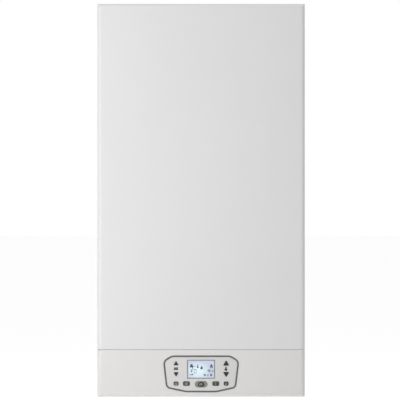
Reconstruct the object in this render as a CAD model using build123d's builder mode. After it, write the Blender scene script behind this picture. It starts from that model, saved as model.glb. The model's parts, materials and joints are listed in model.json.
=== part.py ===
"""Wall-hung gas combi boiler: a white steel case, a tilting control panel and the works behind them.

The wall is the plane Y = 0 and the front faces -Y, so a depth is a distance out from the wall.
Heights are measured up from the underside of the case. The origin lies on the wall, midway
between the two holes that fix the wall bracket.
"""

from build123d import *

import os
from math import sqrt

os.makedirs("parts", exist_ok=True)

# ================================================================ driving dimensions (mm)
# case
casing_width = 440
casing_height = 833
casing_depth = 350
casing_sheet = 1.0  # painted steel
edge_radius = 10  # rolled front edges
cover_return = 28.5  # the cover's edges fold back this far
cover_gap = 1.5  # shadow line behind the cover
side_return = 16
bottom_return = 12
top_flange = 14

# hanging on the wall
fixing_spacing = 300
fixing_hole_radius = 4.5
fixing_drop = 43  # fixing holes below the top of the case
chassis_sheet = 1.2  # galvanised steel
chassis_depth = 12  # the back panel's front face stands off the wall
bracket_sheet = 2
bracket_width = 340
bracket_drop = 18
hook_spacing = 220
hook_width = 24
hook_seat = 14  # the case rests on the hooks this far above the fixing holes
hook_lip = 10
hook_play = 3
swage_depth = 4
swage_width = 26
swage_spacing = 250
swage_margin = 70

# cover fastening
stud_inset = 18
stud_height_low = 160
stud_drop_high = 60
stud_across = 7  # hexagonal studs
stud_length = 42
stud_foot = (16, 18, 1.5)
stud_hole = 12
stud_ear = (28, 40)
clip_sheet = 0.8
clip_plate = (17, 26)
clip_reach = 15
jaw_play = 0.3

# concentric flue collar: a 60 mm flue inside a 100 mm air duct
duct_play = 0.3
air_duct_radius = 50
flue_duct_radius = 30
collar_wall = 3.5
collar_flange = (126, 3)
collar_flange_corner = 14
collar_seat = 42
flue_wall = 1.5
flue_foot = (80, 12, 3)  # flange on the casting: square, corner cut, thickness
flue_window = 42

# control panel
panel_gap = 2.5  # line between cover and fascia
fascia_height = 98.5
fascia_wall = 2.5
fascia_play = 2  # fascia clear of the side panels' front edges
hinge_inset = 50  # hinge axis behind the front
hinge_height = 8
hinge_pin_radius = 4
hinge_lug = (14, 8)
hinge_foot = (24, 13, 2)
hinge_pin_length = 26
running_clearance = 0.06
box_side_gap = 18  # control box in from the fascia's outer sides
box_rear = 78  # rear wall behind the hinge axis
box_low = 4
box_rear_height = 46
box_front_height = 94
box_bevel = 10
box_wall = 2
fit = 0.15
round_sides = 16  # flats that stand in for round walls inside the case

# control unit in the fascia
unit_shoulder_x = 79
unit_top = 86.4
unit_shoulder_height = 76
unit_flat_x = 62
unit_foot_x = 72.5
unit_foot_height = 20.5
unit_knee_x = 32
unit_bottom = 11.7
trim_width = 3.2
trim_proud = 0.8
plate_recess = 0.2
lcd_size = (59, 40)
lcd_height = 59
lcd_recess = 0.5
lcd_rim = 3
key_proud = 1.2
key_lip = 1
key_play = 0.3
key_travel = 0.8
switch_play = 0.4
switch_size = 6
left_arrow = 6
right_arrow = 7.2
arrow_x = 53
arrow_up_height = 70.5
arrow_down_height = 49.5
end_key = (10, 8)
wide_key = (14, 9)
oval_key = (26, 13)
key_corner = 2
wide_key_x = 31
key_row_height = 28.6
oval_key_height = 27.2
board_gap = 7.2  # display board behind the plate
board_thickness = 1.6
display_board_size = (150, 66)
display_board_height = 50
board_post = 5
post_x = 66
post_heights = (40, 76)
main_board_height = 12
main_board_size = (340, 84)
main_board_set_back = 10
main_board_foot_inset = 6
lid_sheet = 1.5

# cast heat exchanger, what carries it and the expansion vessel behind
vessel_height = 300
vessel_bottom = 350
vessel_depth = 86
vessel_side_gap = 19
vessel_corner = 30
vessel_bevel = 14
vessel_wall = 1.5
vessel_port_x = 30
vessel_port_depth = 55
vessel_port = (8, 8)
frame_side_gap = 3
frame_gap = 4
frame_bottom = 480
frame_height = 220
cast_height = 590  # middle of the casting
cast_size = (206, 220)
cast_depth = 110
cast_corner = 26
cast_flange = (10, 6)
cast_rib = (4, 5)
cast_rib_count = 5
chamber_size = (170, 180)
chamber_back = 12
fin_thickness = 4
fin_count = 12
fin_height = 90
flue_inset = 46.8  # flue axis in front of the casting's back
stub_reach = 20
stub_radius = 11
flow_stub_drop = 30
return_stub_drop = 50
condensate_spigot = (16, 20)
door_sheet = 4
door_rib = (6, 7)
door_collar = (34, 24, 14)
burner_size = (130, 60)
burner_depth = 26
burner_sheet = 1.5
electrode_radius = 4
electrode_reach = 26
electrode_spacing = 22
electrode_x = 70
electrode_drop = 30
electrode_foot = (40, 16, 3)

# premix fan, venturi and gas valve
fan_x = -70
fan_height = 385
fan_gap = 3  # fan in front of the burner door's collar
fan_depth = 38
fan_wall = 2.5
scroll_start = 46
scroll_growth = 6
tongue_height = 40
outlet_width = 36
outlet_height = 62
impeller_radius = 38
impeller_eye = 24
impeller_gap = 3
impeller_plate = 2
blade_inset = 2
blade_count = 14
blade_length = 15
blade_thickness = 1.6
blade_lean = 35
shaft_radius = 4
fan_motor_size = 64
fan_motor_corner = 14
fan_motor_length = 34
fan_motor_bore = 20
shaft_end_play = 1
duct_head = 68
duct_head_corner = 14
duct_neck = 44
duct_depth = 30
duct_flange = (6, 3)
venturi_length = 40
venturi_radius = 28
venturi_throat = 17
valve_size = (62, 70)
valve_depth = 50
valve_set_back = 2
valve_stub = (10, 6)
valve_coil = (26, 24, 30)
valve_coil_x = 14
valve_coil_spacing = 32

# pipes and water works
connection_pitch = 65
port_depth = 80
pipe_radius = 9
gas_pipe_radius = 7.5
vessel_pipe_radius = 5
pipe_sides = 12
elbow = 14
small_elbow = 8
flow_pipe_x = 192
return_pipe_x = 170
flow_pipe_turn = 170
return_pipe_turn = 300
vessel_pipe_turn = 120
gas_pipe_turn = 225
pipe_end_run = 27
union_thickness = 8
union_across = 32
three_quarter_radius = 13.2
three_quarter_bore = 9
half_inch_radius = 10.4
half_inch_bore = 7
tail_bottom = 2
leg_widths = (28, 24)
block_height = 28
block_depth = 30
block_overhang = 17
port_height = 90
barrel_top = 135
barrel_radius = 17
exchanger_port = (30, 56)
exchanger_port_x = 72
plate_back = 118
plate_stack_size = (190, 76)
plate_stack_height = 100
plate_corner = 12
plate_count = 6
plate_pitch = 6.6
plate_lip = 2
pump_height = 185
pump_size = (92, 84)
pump_corner = 20
pump_thickness = 40
pump_motor_radius = 40
pump_motor_length = 66
pump_terminal_box = (44, 16, 40)
pump_terminal_gap = 10
pump_port = (13, 50)
pump_neck = 30
actuator_size = (44, 46)
actuator_height = 54
actuator_corner = 6
vent_x = 62
vent_radius = 15
vent_heights = (172, 226)
vent_boss = 14
relief_reach = 36
relief_body = 26
relief_drain_radius = 7.5
relief_bonnet = (11, 32)
knob_clearance = 0.3
relief_knob = (15, 20)
filling_height = 42
filling_body = 14
filling_bonnet = (9, 25)
filling_knob = (14, 18)
knob_sides = 8
bracket_height = 20
bracket_reach = 104
bracket_flange = 16
slot_play = 1.5
siphon_x = 60
siphon_depth = 182
siphon_radius = 24
siphon_neck = 9
siphon_heights = (330, 420)
siphon_sides = 16
hose_radius = 8
outlet_end = 8  # condensate hose and relief drain end just above the underside

# ================================================================ places worked out from them
half_width = casing_width / 2
chassis_half = half_width - casing_sheet
fixing_height = casing_height - fixing_drop
underside = -fixing_height
side_depth = casing_depth - cover_return - cover_gap
cover_back = casing_depth - cover_return
cover_bottom = fascia_height + panel_gap
stud_x = half_width - stud_inset
stud_heights = (stud_height_low, casing_height - stud_drop_high)
hinge_depth = casing_depth - hinge_inset
fascia_back = side_depth + fascia_play
fascia_front_inside = casing_depth - fascia_wall
box_half = half_width - box_side_gap - 2 * casing_sheet
vessel_front = chassis_depth + vessel_depth
frame_depth = vessel_front + frame_gap
cast_back = frame_depth + chassis_sheet
cast_front = cast_back + cast_depth
cast_top = cast_height + cast_size[1] / 2
cast_side = cast_size[0] / 2
flue_depth = cast_back + flue_inset
door_front = cast_front + door_sheet
collar_front = door_front + door_collar[2]
fan_back = collar_front + fan_gap
fan_front = fan_back + fan_depth
outer_x = 2 * connection_pitch
union_height = bracket_height + chassis_sheet
manifold_base = union_height + union_thickness


def frontal(depth, x=0, height=0):
    """A plane facing the front with its origin at (x, height): local X right, local Y up."""
    return Plane(origin=(x, -depth, underside + height), x_dir=(1, 0, 0), z_dir=(0, -1, 0))


def level(height, x=0, depth=0):
    """A level plane facing up with its origin at (x, depth): local X right, local Y to the wall."""
    return Plane(origin=(x, -depth, underside + height), x_dir=(1, 0, 0), z_dir=(0, 0, 1))


def sideways(x, depth=0, height=0):
    """A plane facing -X with its origin at (depth, height): local X to the front, local Y up."""
    return Plane(origin=(x, -depth, underside + height), x_dir=(0, -1, 0), z_dir=(-1, 0, 0))


def at(x, depth, height):
    """A point given by its place across, its depth from the wall and its height."""
    return (x, -depth, underside + height)


def save(builder, label):
    """Names a finished piece and writes its file."""
    builder.part.label = label
    export_step(builder.part, f"parts/{label}.step")


# ================================================================ chassis
back_height = casing_height - casing_sheet
swage_length = fixing_height - 2 * swage_margin
swage_places = [(side * swage_spacing / 2, fixing_height / 2) for side in (-1, 1)]
hook_places = [(side * hook_spacing / 2, fixing_height + hook_seat) for side in (-1, 1)]

with BuildPart() as back_panel:
    with BuildSketch(frontal(0)):
        with Locations((0, back_height / 2)):
            Rectangle(2 * chassis_half, back_height)
    extrude(amount=chassis_depth)
    offset(amount=-chassis_sheet, openings=back_panel.faces().sort_by(Axis.Y)[-1])
    with BuildSketch(frontal(chassis_depth - chassis_sheet - swage_depth)):
        with Locations(*swage_places):
            Rectangle(swage_width, swage_length)
    extrude(amount=swage_depth)
    with BuildSketch(frontal(chassis_depth)):
        with Locations(*swage_places):
            Rectangle(swage_width - 2 * chassis_sheet, swage_length - 2 * chassis_sheet)
    extrude(amount=-swage_depth, mode=Mode.SUBTRACT)
    with BuildSketch(frontal(0)):
        with Locations(*hook_places):
            Rectangle(
                hook_width + 2 * hook_play,
                bracket_sheet + hook_lip + hook_play,
                align=(Align.CENTER, Align.MAX),
            )
    extrude(amount=chassis_depth, mode=Mode.SUBTRACT)
save(back_panel, "back_panel")

hook_reach = chassis_depth + fit + bracket_sheet

with BuildPart() as wall_bracket:
    with BuildSketch(frontal(0, height=fixing_height)):
        with Locations((0, hook_seat)):
            Rectangle(bracket_width, hook_seat + bracket_drop, align=(Align.CENTER, Align.MAX))
        with GridLocations(fixing_spacing, 0, 2, 1):
            Circle(fixing_hole_radius, mode=Mode.SUBTRACT)
    extrude(amount=bracket_sheet)
    for hook_x, hook_height in hook_places:
        with BuildSketch(sideways(hook_x, height=hook_height)):
            Polygon(
                (0, -bracket_sheet),
                (hook_reach, -bracket_sheet),
                (hook_reach, hook_lip),
                (hook_reach - bracket_sheet, hook_lip),
                (hook_reach - bracket_sheet, 0),
                (0, 0),
                align=None,
            )
        extrude(amount=hook_width / 2, both=True)
save(wall_bracket, "wall_bracket")


# ================================================================ case
def side_panel(side):
    """A side wall: its front edge folds in behind the cover, with an ear for each cover stud."""
    with BuildPart() as panel:
        with BuildSketch(level(0)):
            with Locations((side * (half_width - casing_sheet / 2), -side_depth / 2)):
                Rectangle(casing_sheet, side_depth)
            with Locations((side * (half_width - side_return / 2), -side_depth)):
                Rectangle(side_return, casing_sheet, align=(Align.CENTER, Align.MIN))
        extrude(amount=casing_height)
        with BuildSketch(level(0)):
            with Locations((side * (half_width - bottom_return / 2), -side_depth)):
                Rectangle(
                    bottom_return, side_depth - chassis_depth, align=(Align.CENTER, Align.MIN)
                )
        extrude(amount=casing_sheet)
        with BuildSketch(frontal(side_depth)):
            with Locations(*[(side * (half_width - stud_ear[0] / 2), h) for h in stud_heights]):
                Rectangle(*stud_ear)
        extrude(amount=-casing_sheet)
        with BuildSketch(frontal(side_depth)):
            with Locations(*[(side * stud_x, h) for h in stud_heights]):
                Rectangle(stud_hole, stud_hole)
        extrude(amount=-casing_sheet, mode=Mode.SUBTRACT)
    return panel


save(side_panel(-1), "left_side_panel")
save(side_panel(1), "right_side_panel")

air_bore = air_duct_radius + duct_play
collar_radius = air_bore + collar_wall

with BuildPart() as top_panel:
    with BuildSketch(level(casing_height)):
        Rectangle(2 * chassis_half, side_depth - casing_sheet, align=(Align.CENTER, Align.MAX))
        with Locations((0, -flue_depth)):
            RegularPolygon(collar_radius + fit, round_sides, mode=Mode.SUBTRACT)
    extrude(amount=-casing_sheet)
    with BuildSketch(level(casing_height)):
        with Locations((0, -side_depth)):
            Rectangle(
                2 * (half_width - side_return), casing_sheet, align=(Align.CENTER, Align.MIN)
            )
        for side in (-1, 1):
            with Locations((side * (chassis_half - casing_sheet / 2), -chassis_depth)):
                Rectangle(
                    casing_sheet,
                    side_depth - chassis_depth - casing_sheet,
                    align=(Align.CENTER, Align.MAX),
                )
    extrude(amount=-top_flange)
save(top_panel, "top_panel")

with BuildPart() as front_cover:
    with BuildSketch(frontal(cover_back)):
        with Locations((0, cover_bottom)):
            Rectangle(
                casing_width, casing_height - cover_bottom, align=(Align.CENTER, Align.MIN)
            )
    extrude(amount=cover_return)
    cover_face = front_cover.faces().sort_by(Axis.Y)[0]
    fillet(cover_face.edges().sort_by(Axis.Z)[1:], radius=edge_radius)
    offset(amount=-casing_sheet, openings=front_cover.faces().sort_by(Axis.Y)[-1])
save(front_cover, "front_cover")

with BuildPart() as cover_studs:
    with BuildSketch(frontal(casing_depth - casing_sheet)):
        with Locations(*[(side * stud_x, h) for side in (-1, 1) for h in stud_heights]):
            Rectangle(*stud_foot[:2])
    extrude(amount=-stud_foot[2])
    with BuildSketch(frontal(casing_depth - casing_sheet - stud_foot[2])):
        with Locations(*[(side * stud_x, h) for side in (-1, 1) for h in stud_heights]):
            RegularPolygon(stud_across / 2, 6, major_radius=False)
    extrude(amount=-stud_length)
save(cover_studs, "cover_studs")

clip_plate_depth = side_depth - casing_sheet
jaw_start = stud_hole / 2 + clip_sheet
jaw_gap = stud_across / 2 + jaw_play

with BuildPart() as cover_clips:
    with BuildSketch(frontal(clip_plate_depth)):
        for side in (-1, 1):
            for clip_height in stud_heights:
                with Locations((side * stud_x, clip_height)):
                    Rectangle(*clip_plate)
                    Rectangle(stud_hole, stud_hole, mode=Mode.SUBTRACT)
    extrude(amount=-clip_sheet)
    for side in (-1, 1):
        for clip_height in stud_heights:
            for way in (-1, 1):
                with BuildSketch(sideways(side * stud_x, clip_plate_depth, clip_height)):
                    Polygon(
                        (0, way * jaw_start),
                        (0, way * (jaw_start + clip_sheet)),
                        (-clip_reach / 2, way * (jaw_gap + clip_sheet)),
                        (-clip_reach, way * (jaw_start + clip_sheet)),
                        (-clip_reach, way * jaw_start),
                        (-clip_reach / 2, way * jaw_gap),
                        align=None,
                    )
                extrude(amount=stud_across / 2, both=True)
save(cover_clips, "cover_clips")


# ================================================================ flue collar on the roof
collar_top = casing_height + collar_flange[1]

with BuildPart() as flue_collar:
    with BuildSketch(level(casing_height, 0, flue_depth)) as collar_base:
        Rectangle(collar_flange[0], collar_flange[0])
        chamfer(collar_base.vertices(), length=collar_flange_corner)
    extrude(amount=collar_flange[1])
    with BuildSketch(level(collar_top, 0, flue_depth)):
        RegularPolygon(collar_radius, round_sides)
    extrude(amount=-collar_seat)
    with BuildSketch(level(collar_top, 0, flue_depth)):
        Circle(air_bore)
    extrude(amount=-collar_seat, mode=Mode.SUBTRACT)
save(flue_collar, "flue_collar")

# ================================================================ control panel that tilts forward
trim_half = trim_width / 2
unit_plate_back = fascia_front_inside
plate_thickness = fascia_wall - plate_recess
key_places = {
    "heating_up_key": ("up", left_arrow, -arrow_x, arrow_up_height),
    "heating_down_key": ("down", left_arrow, -arrow_x, arrow_down_height),
    "water_up_key": ("up", right_arrow, arrow_x, arrow_up_height),
    "water_down_key": ("down", right_arrow, arrow_x, arrow_down_height),
    "power_key": ("pad", end_key, -arrow_x, key_row_height),
    "menu_key": ("pad", wide_key, -wide_key_x, key_row_height),
    "select_key": ("oval", oval_key, 0, oval_key_height),
    "info_key": ("pad", wide_key, wide_key_x, key_row_height),
    "reset_key": ("pad", end_key, arrow_x, key_row_height),
}


def unit_outline(grow):
    """The control unit's outline, drawn along the middle of its dark trim and then grown."""
    with BuildSketch() as outline:
        with BuildLine():
            FilletPolyline(
                (-unit_flat_x, unit_top),
                (unit_flat_x, unit_top),
                (unit_shoulder_x, unit_shoulder_height),
                (unit_foot_x, unit_foot_height),
                (unit_knee_x, unit_bottom),
                (-unit_knee_x, unit_bottom),
                (-unit_foot_x, unit_foot_height),
                (-unit_shoulder_x, unit_shoulder_height),
                radius=(18, 18, 12, 9, 30, 30, 9, 12),
                close=True,
            )
        make_face()
        offset(amount=grow)
    return outline.sketch


def key_outline(kind, size, grow=0):
    """An arrow key points up or down, a pad has cut corners, and the middle key is a long oval."""
    with BuildSketch() as outline:
        if kind == "oval":
            SlotOverall(size[0] + 2 * grow, size[1] + 2 * grow)
        elif kind == "pad":
            Rectangle(size[0] + 2 * grow, size[1] + 2 * grow)
            chamfer(outline.vertices(), length=key_corner)
        else:
            RegularPolygon(size + 2 * grow, 3, rotation=90 if kind == "up" else -90)
            chamfer(outline.vertices(), length=size / 4)
    return outline.sketch


def key_lip_outline(kind, size):
    """The flange behind a key is plain: a larger arrow, or a rectangle behind a pad or the oval."""
    with BuildSketch() as outline:
        if kind in ("oval", "pad"):
            Rectangle(size[0] + 2 * key_lip, size[1] + 2 * key_lip)
        else:
            RegularPolygon(size + 2 * (key_play + key_lip), 3, rotation=90 if kind == "up" else -90)
            chamfer(outline.vertices(), length=size / 4)
    return outline.sketch


with BuildPart() as control_fascia:
    with BuildSketch(frontal(fascia_back)):
        Rectangle(casing_width, fascia_height, align=(Align.CENTER, Align.MIN))
    extrude(amount=casing_depth - fascia_back)
    fascia_face = control_fascia.faces().sort_by(Axis.Y)[0]
    fillet(fascia_face.edges().sort_by(Axis.Z)[:-1], radius=edge_radius)
    offset(amount=-fascia_wall, openings=control_fascia.faces().sort_by(Axis.Y)[-1])
    with BuildSketch(frontal(casing_depth)):
        add(unit_outline(trim_half + fit))
    extrude(amount=-fascia_wall, mode=Mode.SUBTRACT)
save(control_fascia, "control_fascia")

with BuildPart() as control_unit_trim:
    with BuildSketch(frontal(unit_plate_back)):
        add(unit_outline(trim_half))
        add(unit_outline(-trim_half), mode=Mode.SUBTRACT)
    extrude(amount=casing_depth + trim_proud - unit_plate_back)
save(control_unit_trim, "control_unit_trim")

with BuildPart() as control_unit_plate:
    with BuildSketch(frontal(unit_plate_back)):
        add(unit_outline(-trim_half - fit))
        with Locations((0, lcd_height)):
            Rectangle(*lcd_size, mode=Mode.SUBTRACT)
        for kind, size, key_x, key_height in key_places.values():
            with Locations((key_x, key_height)):
                add(key_outline(kind, size, key_play), mode=Mode.SUBTRACT)
    extrude(amount=plate_thickness)
    with BuildSketch(frontal(unit_plate_back)):
        with Locations(*[(side * post_x, h) for side in (-1, 1) for h in post_heights]):
            Rectangle(board_post, board_post)
    extrude(amount=-board_gap)
save(control_unit_plate, "control_unit_plate")

with BuildPart() as lcd_window:
    with BuildSketch(frontal(unit_plate_back, 0, lcd_height)):
        Rectangle(lcd_size[0] - 2 * fit, lcd_size[1] - 2 * fit)
    extrude(amount=plate_thickness - lcd_recess)
save(lcd_window, "lcd_window")

for label, (kind, size, key_x, key_height) in key_places.items():
    with BuildPart() as key:
        with BuildSketch(frontal(unit_plate_back, key_x, key_height)):
            add(key_outline(kind, size))
        extrude(amount=plate_thickness + key_proud)
        with BuildSketch(frontal(unit_plate_back, key_x, key_height)):
            add(key_lip_outline(kind, size))
        extrude(amount=-key_lip)
    save(key, label)

display_board_front = unit_plate_back - board_gap
switch_height = board_gap - key_lip - key_travel - switch_play

with BuildPart() as display_board:
    with BuildSketch(frontal(display_board_front, 0, display_board_height)):
        Rectangle(*display_board_size)
    extrude(amount=-board_thickness)
    with BuildSketch(frontal(display_board_front)):
        with Locations((0, lcd_height)):
            Rectangle(lcd_size[0] + 2 * lcd_rim, lcd_size[1] + 2 * lcd_rim)
    extrude(amount=board_gap)
    with BuildSketch(frontal(display_board_front)):
        with Locations(*[(key_x, h) for kind, size, key_x, h in key_places.values()]):
            Rectangle(switch_size, switch_size)
    extrude(amount=switch_height)
save(display_board, "display_board")

box_back = hinge_depth - box_rear

with BuildPart() as control_box:
    with BuildSketch(sideways(0)):
        Polygon(
            (fascia_front_inside, box_low + box_bevel),
            (fascia_front_inside - box_bevel, box_low),
            (box_back, box_low),
            (box_back, box_rear_height),
            (hinge_depth, box_front_height),
            (fascia_front_inside, box_front_height),
            align=None,
        )
    extrude(amount=box_half, both=True)
    open_front = control_box.faces().sort_by(Axis.Y)[0]
    open_slope = control_box.faces().filter_by(lambda face: 0.3 < face.normal_at().Z < 0.97)[0]
    offset(amount=-box_wall, openings=[open_front, open_slope])
    for side in (-1, 1):
        lug_x = side * (box_half - hinge_lug[1] / 2)
        with BuildSketch(sideways(lug_x, hinge_depth, hinge_height)):
            Rectangle(hinge_lug[0], hinge_lug[0])
        extrude(amount=hinge_lug[1] / 2, both=True)
        with BuildSketch(sideways(lug_x, hinge_depth, hinge_height)):
            Circle(hinge_pin_radius + running_clearance)
        extrude(amount=hinge_lug[1], both=True, mode=Mode.SUBTRACT)
save(control_box, "control_box")

slope_run = box_rear
slope_rise = box_front_height - box_rear_height
slope_length = sqrt(slope_run**2 + slope_rise**2)
lid_back = lid_sheet * slope_rise / slope_length
lid_up = lid_sheet * slope_run / slope_length

with BuildPart() as control_box_lid:
    with BuildSketch(sideways(0)):
        Polygon(
            (box_back, box_rear_height),
            (hinge_depth, box_front_height),
            (hinge_depth - lid_back, box_front_height + lid_up),
            (box_back - lid_back, box_rear_height + lid_up),
            align=None,
        )
    extrude(amount=box_half, both=True)
save(control_box_lid, "control_box_lid")

with BuildPart() as hinge_pins:
    for side in (-1, 1):
        foot_x = side * (chassis_half - hinge_foot[2] / 2)
        with BuildSketch(sideways(foot_x, hinge_depth, hinge_height)):
            Rectangle(*hinge_foot[:2])
        extrude(amount=hinge_foot[2] / 2, both=True)
        pin_x = side * (chassis_half - hinge_foot[2] - hinge_pin_length / 2)
        with BuildSketch(sideways(pin_x, hinge_depth, hinge_height)):
            Circle(hinge_pin_radius)
        extrude(amount=hinge_pin_length / 2, both=True)
save(hinge_pins, "hinge_pins")

main_board_depth = hinge_depth - main_board_set_back
board_floor = box_low + box_wall
board_parts = [  # place across and forward as a share of the board, then width, depth, height
    (-0.37, 0.05, 50, 42, 34),  # transformer
    (-0.18, 0.14, 20, 16, 18),  # relays
    (-0.1, 0.14, 20, 16, 18),
    (-0.02, 0.14, 20, 16, 18),
    (0.09, -0.36, 96, 14, 15),  # mains terminals
    (-0.21, -0.36, 72, 12, 12),  # low-voltage plugs
    (0.18, 0.17, 26, 26, 7),  # controller
    (0.35, 0.07, 18, 34, 24),  # choke
]

with BuildPart() as main_board:
    with BuildSketch(level(main_board_height, 0, main_board_depth)):
        Rectangle(*main_board_size)
    extrude(amount=board_thickness)
    with BuildSketch(level(main_board_height, 0, main_board_depth)):
        foot_spacing = [length - 2 * main_board_foot_inset for length in main_board_size]
        with GridLocations(*foot_spacing, 2, 2):
            Rectangle(switch_size, switch_size)
    extrude(amount=board_floor - main_board_height)
    for across, forward, width, depth, height in board_parts:
        part_x = across * main_board_size[0]
        part_depth = main_board_depth + forward * main_board_size[1]
        with BuildSketch(level(main_board_height, part_x, part_depth)):
            Rectangle(width, depth)
        extrude(amount=board_thickness + height)
save(main_board, "main_board")

# ================================================================ exchanger, its frame and the vessel
frame_half = chassis_half - frame_side_gap

with BuildPart() as exchanger_frame:
    with BuildSketch(level(frame_bottom)):
        with Locations((0, -frame_depth)):
            Rectangle(2 * frame_half, chassis_sheet, align=(Align.CENTER, Align.MAX))
        for side in (-1, 1):
            with Locations((side * (frame_half - chassis_sheet / 2), -chassis_depth)):
                Rectangle(
                    chassis_sheet, frame_depth - chassis_depth, align=(Align.CENTER, Align.MAX)
                )
    extrude(amount=frame_height)
save(exchanger_frame, "exchanger_frame")

vessel_width = 2 * (chassis_half - vessel_side_gap)


def vessel_body(wall):
    """The flat expansion vessel, or with a wall the space inside it."""
    with BuildPart() as body:
        with BuildSketch(frontal(chassis_depth + wall)) as face:
            with Locations((0, vessel_bottom + vessel_height / 2)):
                Rectangle(vessel_width - 2 * wall, vessel_height - 2 * wall)
            chamfer(face.vertices(), length=vessel_corner)
        extrude(amount=vessel_depth - 2 * wall)
        chamfer(body.faces().filter_by(Axis.Y).edges(), length=vessel_bevel - wall)
    return body.part


with BuildPart() as expansion_vessel:
    add(vessel_body(0))
    with BuildSketch(level(vessel_bottom + vessel_wall, vessel_port_x, vessel_port_depth)):
        RegularPolygon(vessel_port[0], 6)
    extrude(amount=-vessel_port[1] - vessel_wall)
    add(vessel_body(vessel_wall), mode=Mode.SUBTRACT)
    with BuildSketch(level(vessel_bottom - vessel_port[1], vessel_port_x, vessel_port_depth)):
        RegularPolygon(vessel_pipe_radius - 1, 6)
    extrude(amount=vessel_port[1] + 2 * vessel_wall, mode=Mode.SUBTRACT)
save(expansion_vessel, "expansion_vessel")

flue_bore = flue_duct_radius + duct_play
flow_stub_height = cast_height - flow_stub_drop
return_stub_height = cast_height - return_stub_drop
stub_end = cast_side + stub_reach
cast_bottom = cast_height - cast_size[1] / 2
condensate_end = cast_bottom - condensate_spigot[1]

with BuildPart() as heat_exchanger:
    with BuildSketch(frontal(cast_back, 0, cast_height)) as casting:
        Rectangle(*cast_size)
        chamfer(casting.vertices(), length=cast_corner)
    extrude(amount=cast_depth)
    with BuildSketch(frontal(cast_front, 0, cast_height)) as casting_flange:
        Rectangle(cast_size[0] + 2 * cast_flange[0], cast_size[1] + 2 * cast_flange[0])
        chamfer(casting_flange.vertices(), length=cast_corner)
    extrude(amount=-cast_flange[1])
    rib_pitch = (cast_depth - cast_flange[1]) / (cast_rib_count + 1)
    for index in range(cast_rib_count):
        rib_depth = cast_back + (index + 1) * rib_pitch
        with BuildSketch(frontal(rib_depth, 0, cast_height)) as rib:
            Rectangle(cast_size[0] + 2 * cast_rib[1], cast_size[1] - 2 * cast_corner)
        extrude(amount=cast_rib[0] / 2, both=True)
    with BuildSketch(level(cast_height, siphon_x, siphon_depth)):
        Rectangle(condensate_spigot[0], condensate_spigot[0])
    extrude(amount=condensate_end - cast_height)
    with BuildSketch(sideways(0, flue_depth, flow_stub_height)):
        RegularPolygon(stub_radius, round_sides)
    extrude(amount=stub_end)
    with BuildSketch(sideways(0, flue_depth, return_stub_height)):
        RegularPolygon(stub_radius, round_sides)
    extrude(amount=-stub_end)
    with BuildSketch(frontal(cast_front, 0, cast_height)):
        Rectangle(*chamber_size)
    extrude(amount=chamber_back - cast_depth, mode=Mode.SUBTRACT)
    with BuildSketch(level(cast_height, 0, flue_depth)):
        Rectangle(flue_window, flue_window)
    extrude(amount=cast_top - cast_height, mode=Mode.SUBTRACT)
    fin_pitch = chamber_size[0] / (fin_count + 1)
    with BuildSketch(frontal(cast_back + chamber_back, 0, cast_height - chamber_size[1] / 2)):
        with Locations((0, fin_height / 2)):
            with GridLocations(fin_pitch, 0, fin_count, 1):
                Rectangle(fin_thickness, fin_height)
    extrude(amount=cast_depth - chamber_back - burner_depth)
save(heat_exchanger, "heat_exchanger")

with BuildPart() as flue_pipe:
    with BuildSketch(level(cast_top, 0, flue_depth)) as pipe_foot:
        Rectangle(flue_foot[0], flue_foot[0])
        chamfer(pipe_foot.vertices(), length=flue_foot[1])
    extrude(amount=flue_foot[2])
    with BuildSketch(level(cast_top, 0, flue_depth)):
        Circle(flue_bore + flue_wall)
    extrude(amount=collar_top - cast_top)
    with BuildSketch(level(cast_top, 0, flue_depth)):
        Circle(flue_bore)
    extrude(amount=collar_top - cast_top, mode=Mode.SUBTRACT)
save(flue_pipe, "flue_pipe")

with BuildPart() as burner_door:
    with BuildSketch(frontal(cast_front, 0, cast_height)) as door_plate:
        Rectangle(cast_size[0] + 2 * cast_flange[0], cast_size[1] + 2 * cast_flange[0])
        chamfer(door_plate.vertices(), length=cast_corner)
    extrude(amount=door_sheet)
    with BuildSketch(frontal(door_front, 0, cast_height)):
        Rectangle(cast_size[0], door_rib[0])
        Rectangle(door_rib[0], cast_size[1])
        for turn in (-45, 45):
            Rectangle(cast_size[0] + cast_corner, door_rib[0], rotation=turn)
    extrude(amount=door_rib[1])
    with BuildSketch(frontal(door_front, 0, cast_height)):
        Circle(door_collar[0])
    extrude(amount=door_collar[2])
    with BuildSketch(frontal(collar_front, 0, cast_height)):
        RegularPolygon(door_collar[1], round_sides)
    extrude(amount=-door_collar[2] - door_sheet, mode=Mode.SUBTRACT)
save(burner_door, "burner_door")

with BuildPart() as burner:
    with BuildSketch(frontal(cast_front, 0, cast_height)):
        Rectangle(*burner_size)
    extrude(amount=-burner_depth)
    offset(amount=-burner_sheet, openings=burner.faces().sort_by(Axis.Y)[0])
save(burner, "burner")

with BuildPart() as electrodes:
    with BuildSketch(frontal(door_front, electrode_x, cast_height - electrode_drop)):
        Rectangle(*electrode_foot[:2])
    extrude(amount=electrode_foot[2])
    with BuildSketch(frontal(door_front, electrode_x, cast_height - electrode_drop)):
        with GridLocations(electrode_spacing, 0, 2, 1):
            RegularPolygon(electrode_radius, 8)
    extrude(amount=electrode_reach)
save(electrodes, "electrodes")

# ================================================================ premix fan, venturi and gas valve
outlet_edge = scroll_start + 3 * scroll_growth
outlet_inner = outlet_edge - outlet_width
outlet_x = fan_x + outlet_edge - outlet_width / 2
outlet_top = fan_height + outlet_height
impeller_front = fan_front - fan_wall - impeller_gap
impeller_back = fan_back + fan_wall + impeller_gap
second_radius = scroll_start + scroll_growth
third_radius = second_radius + scroll_growth

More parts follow.
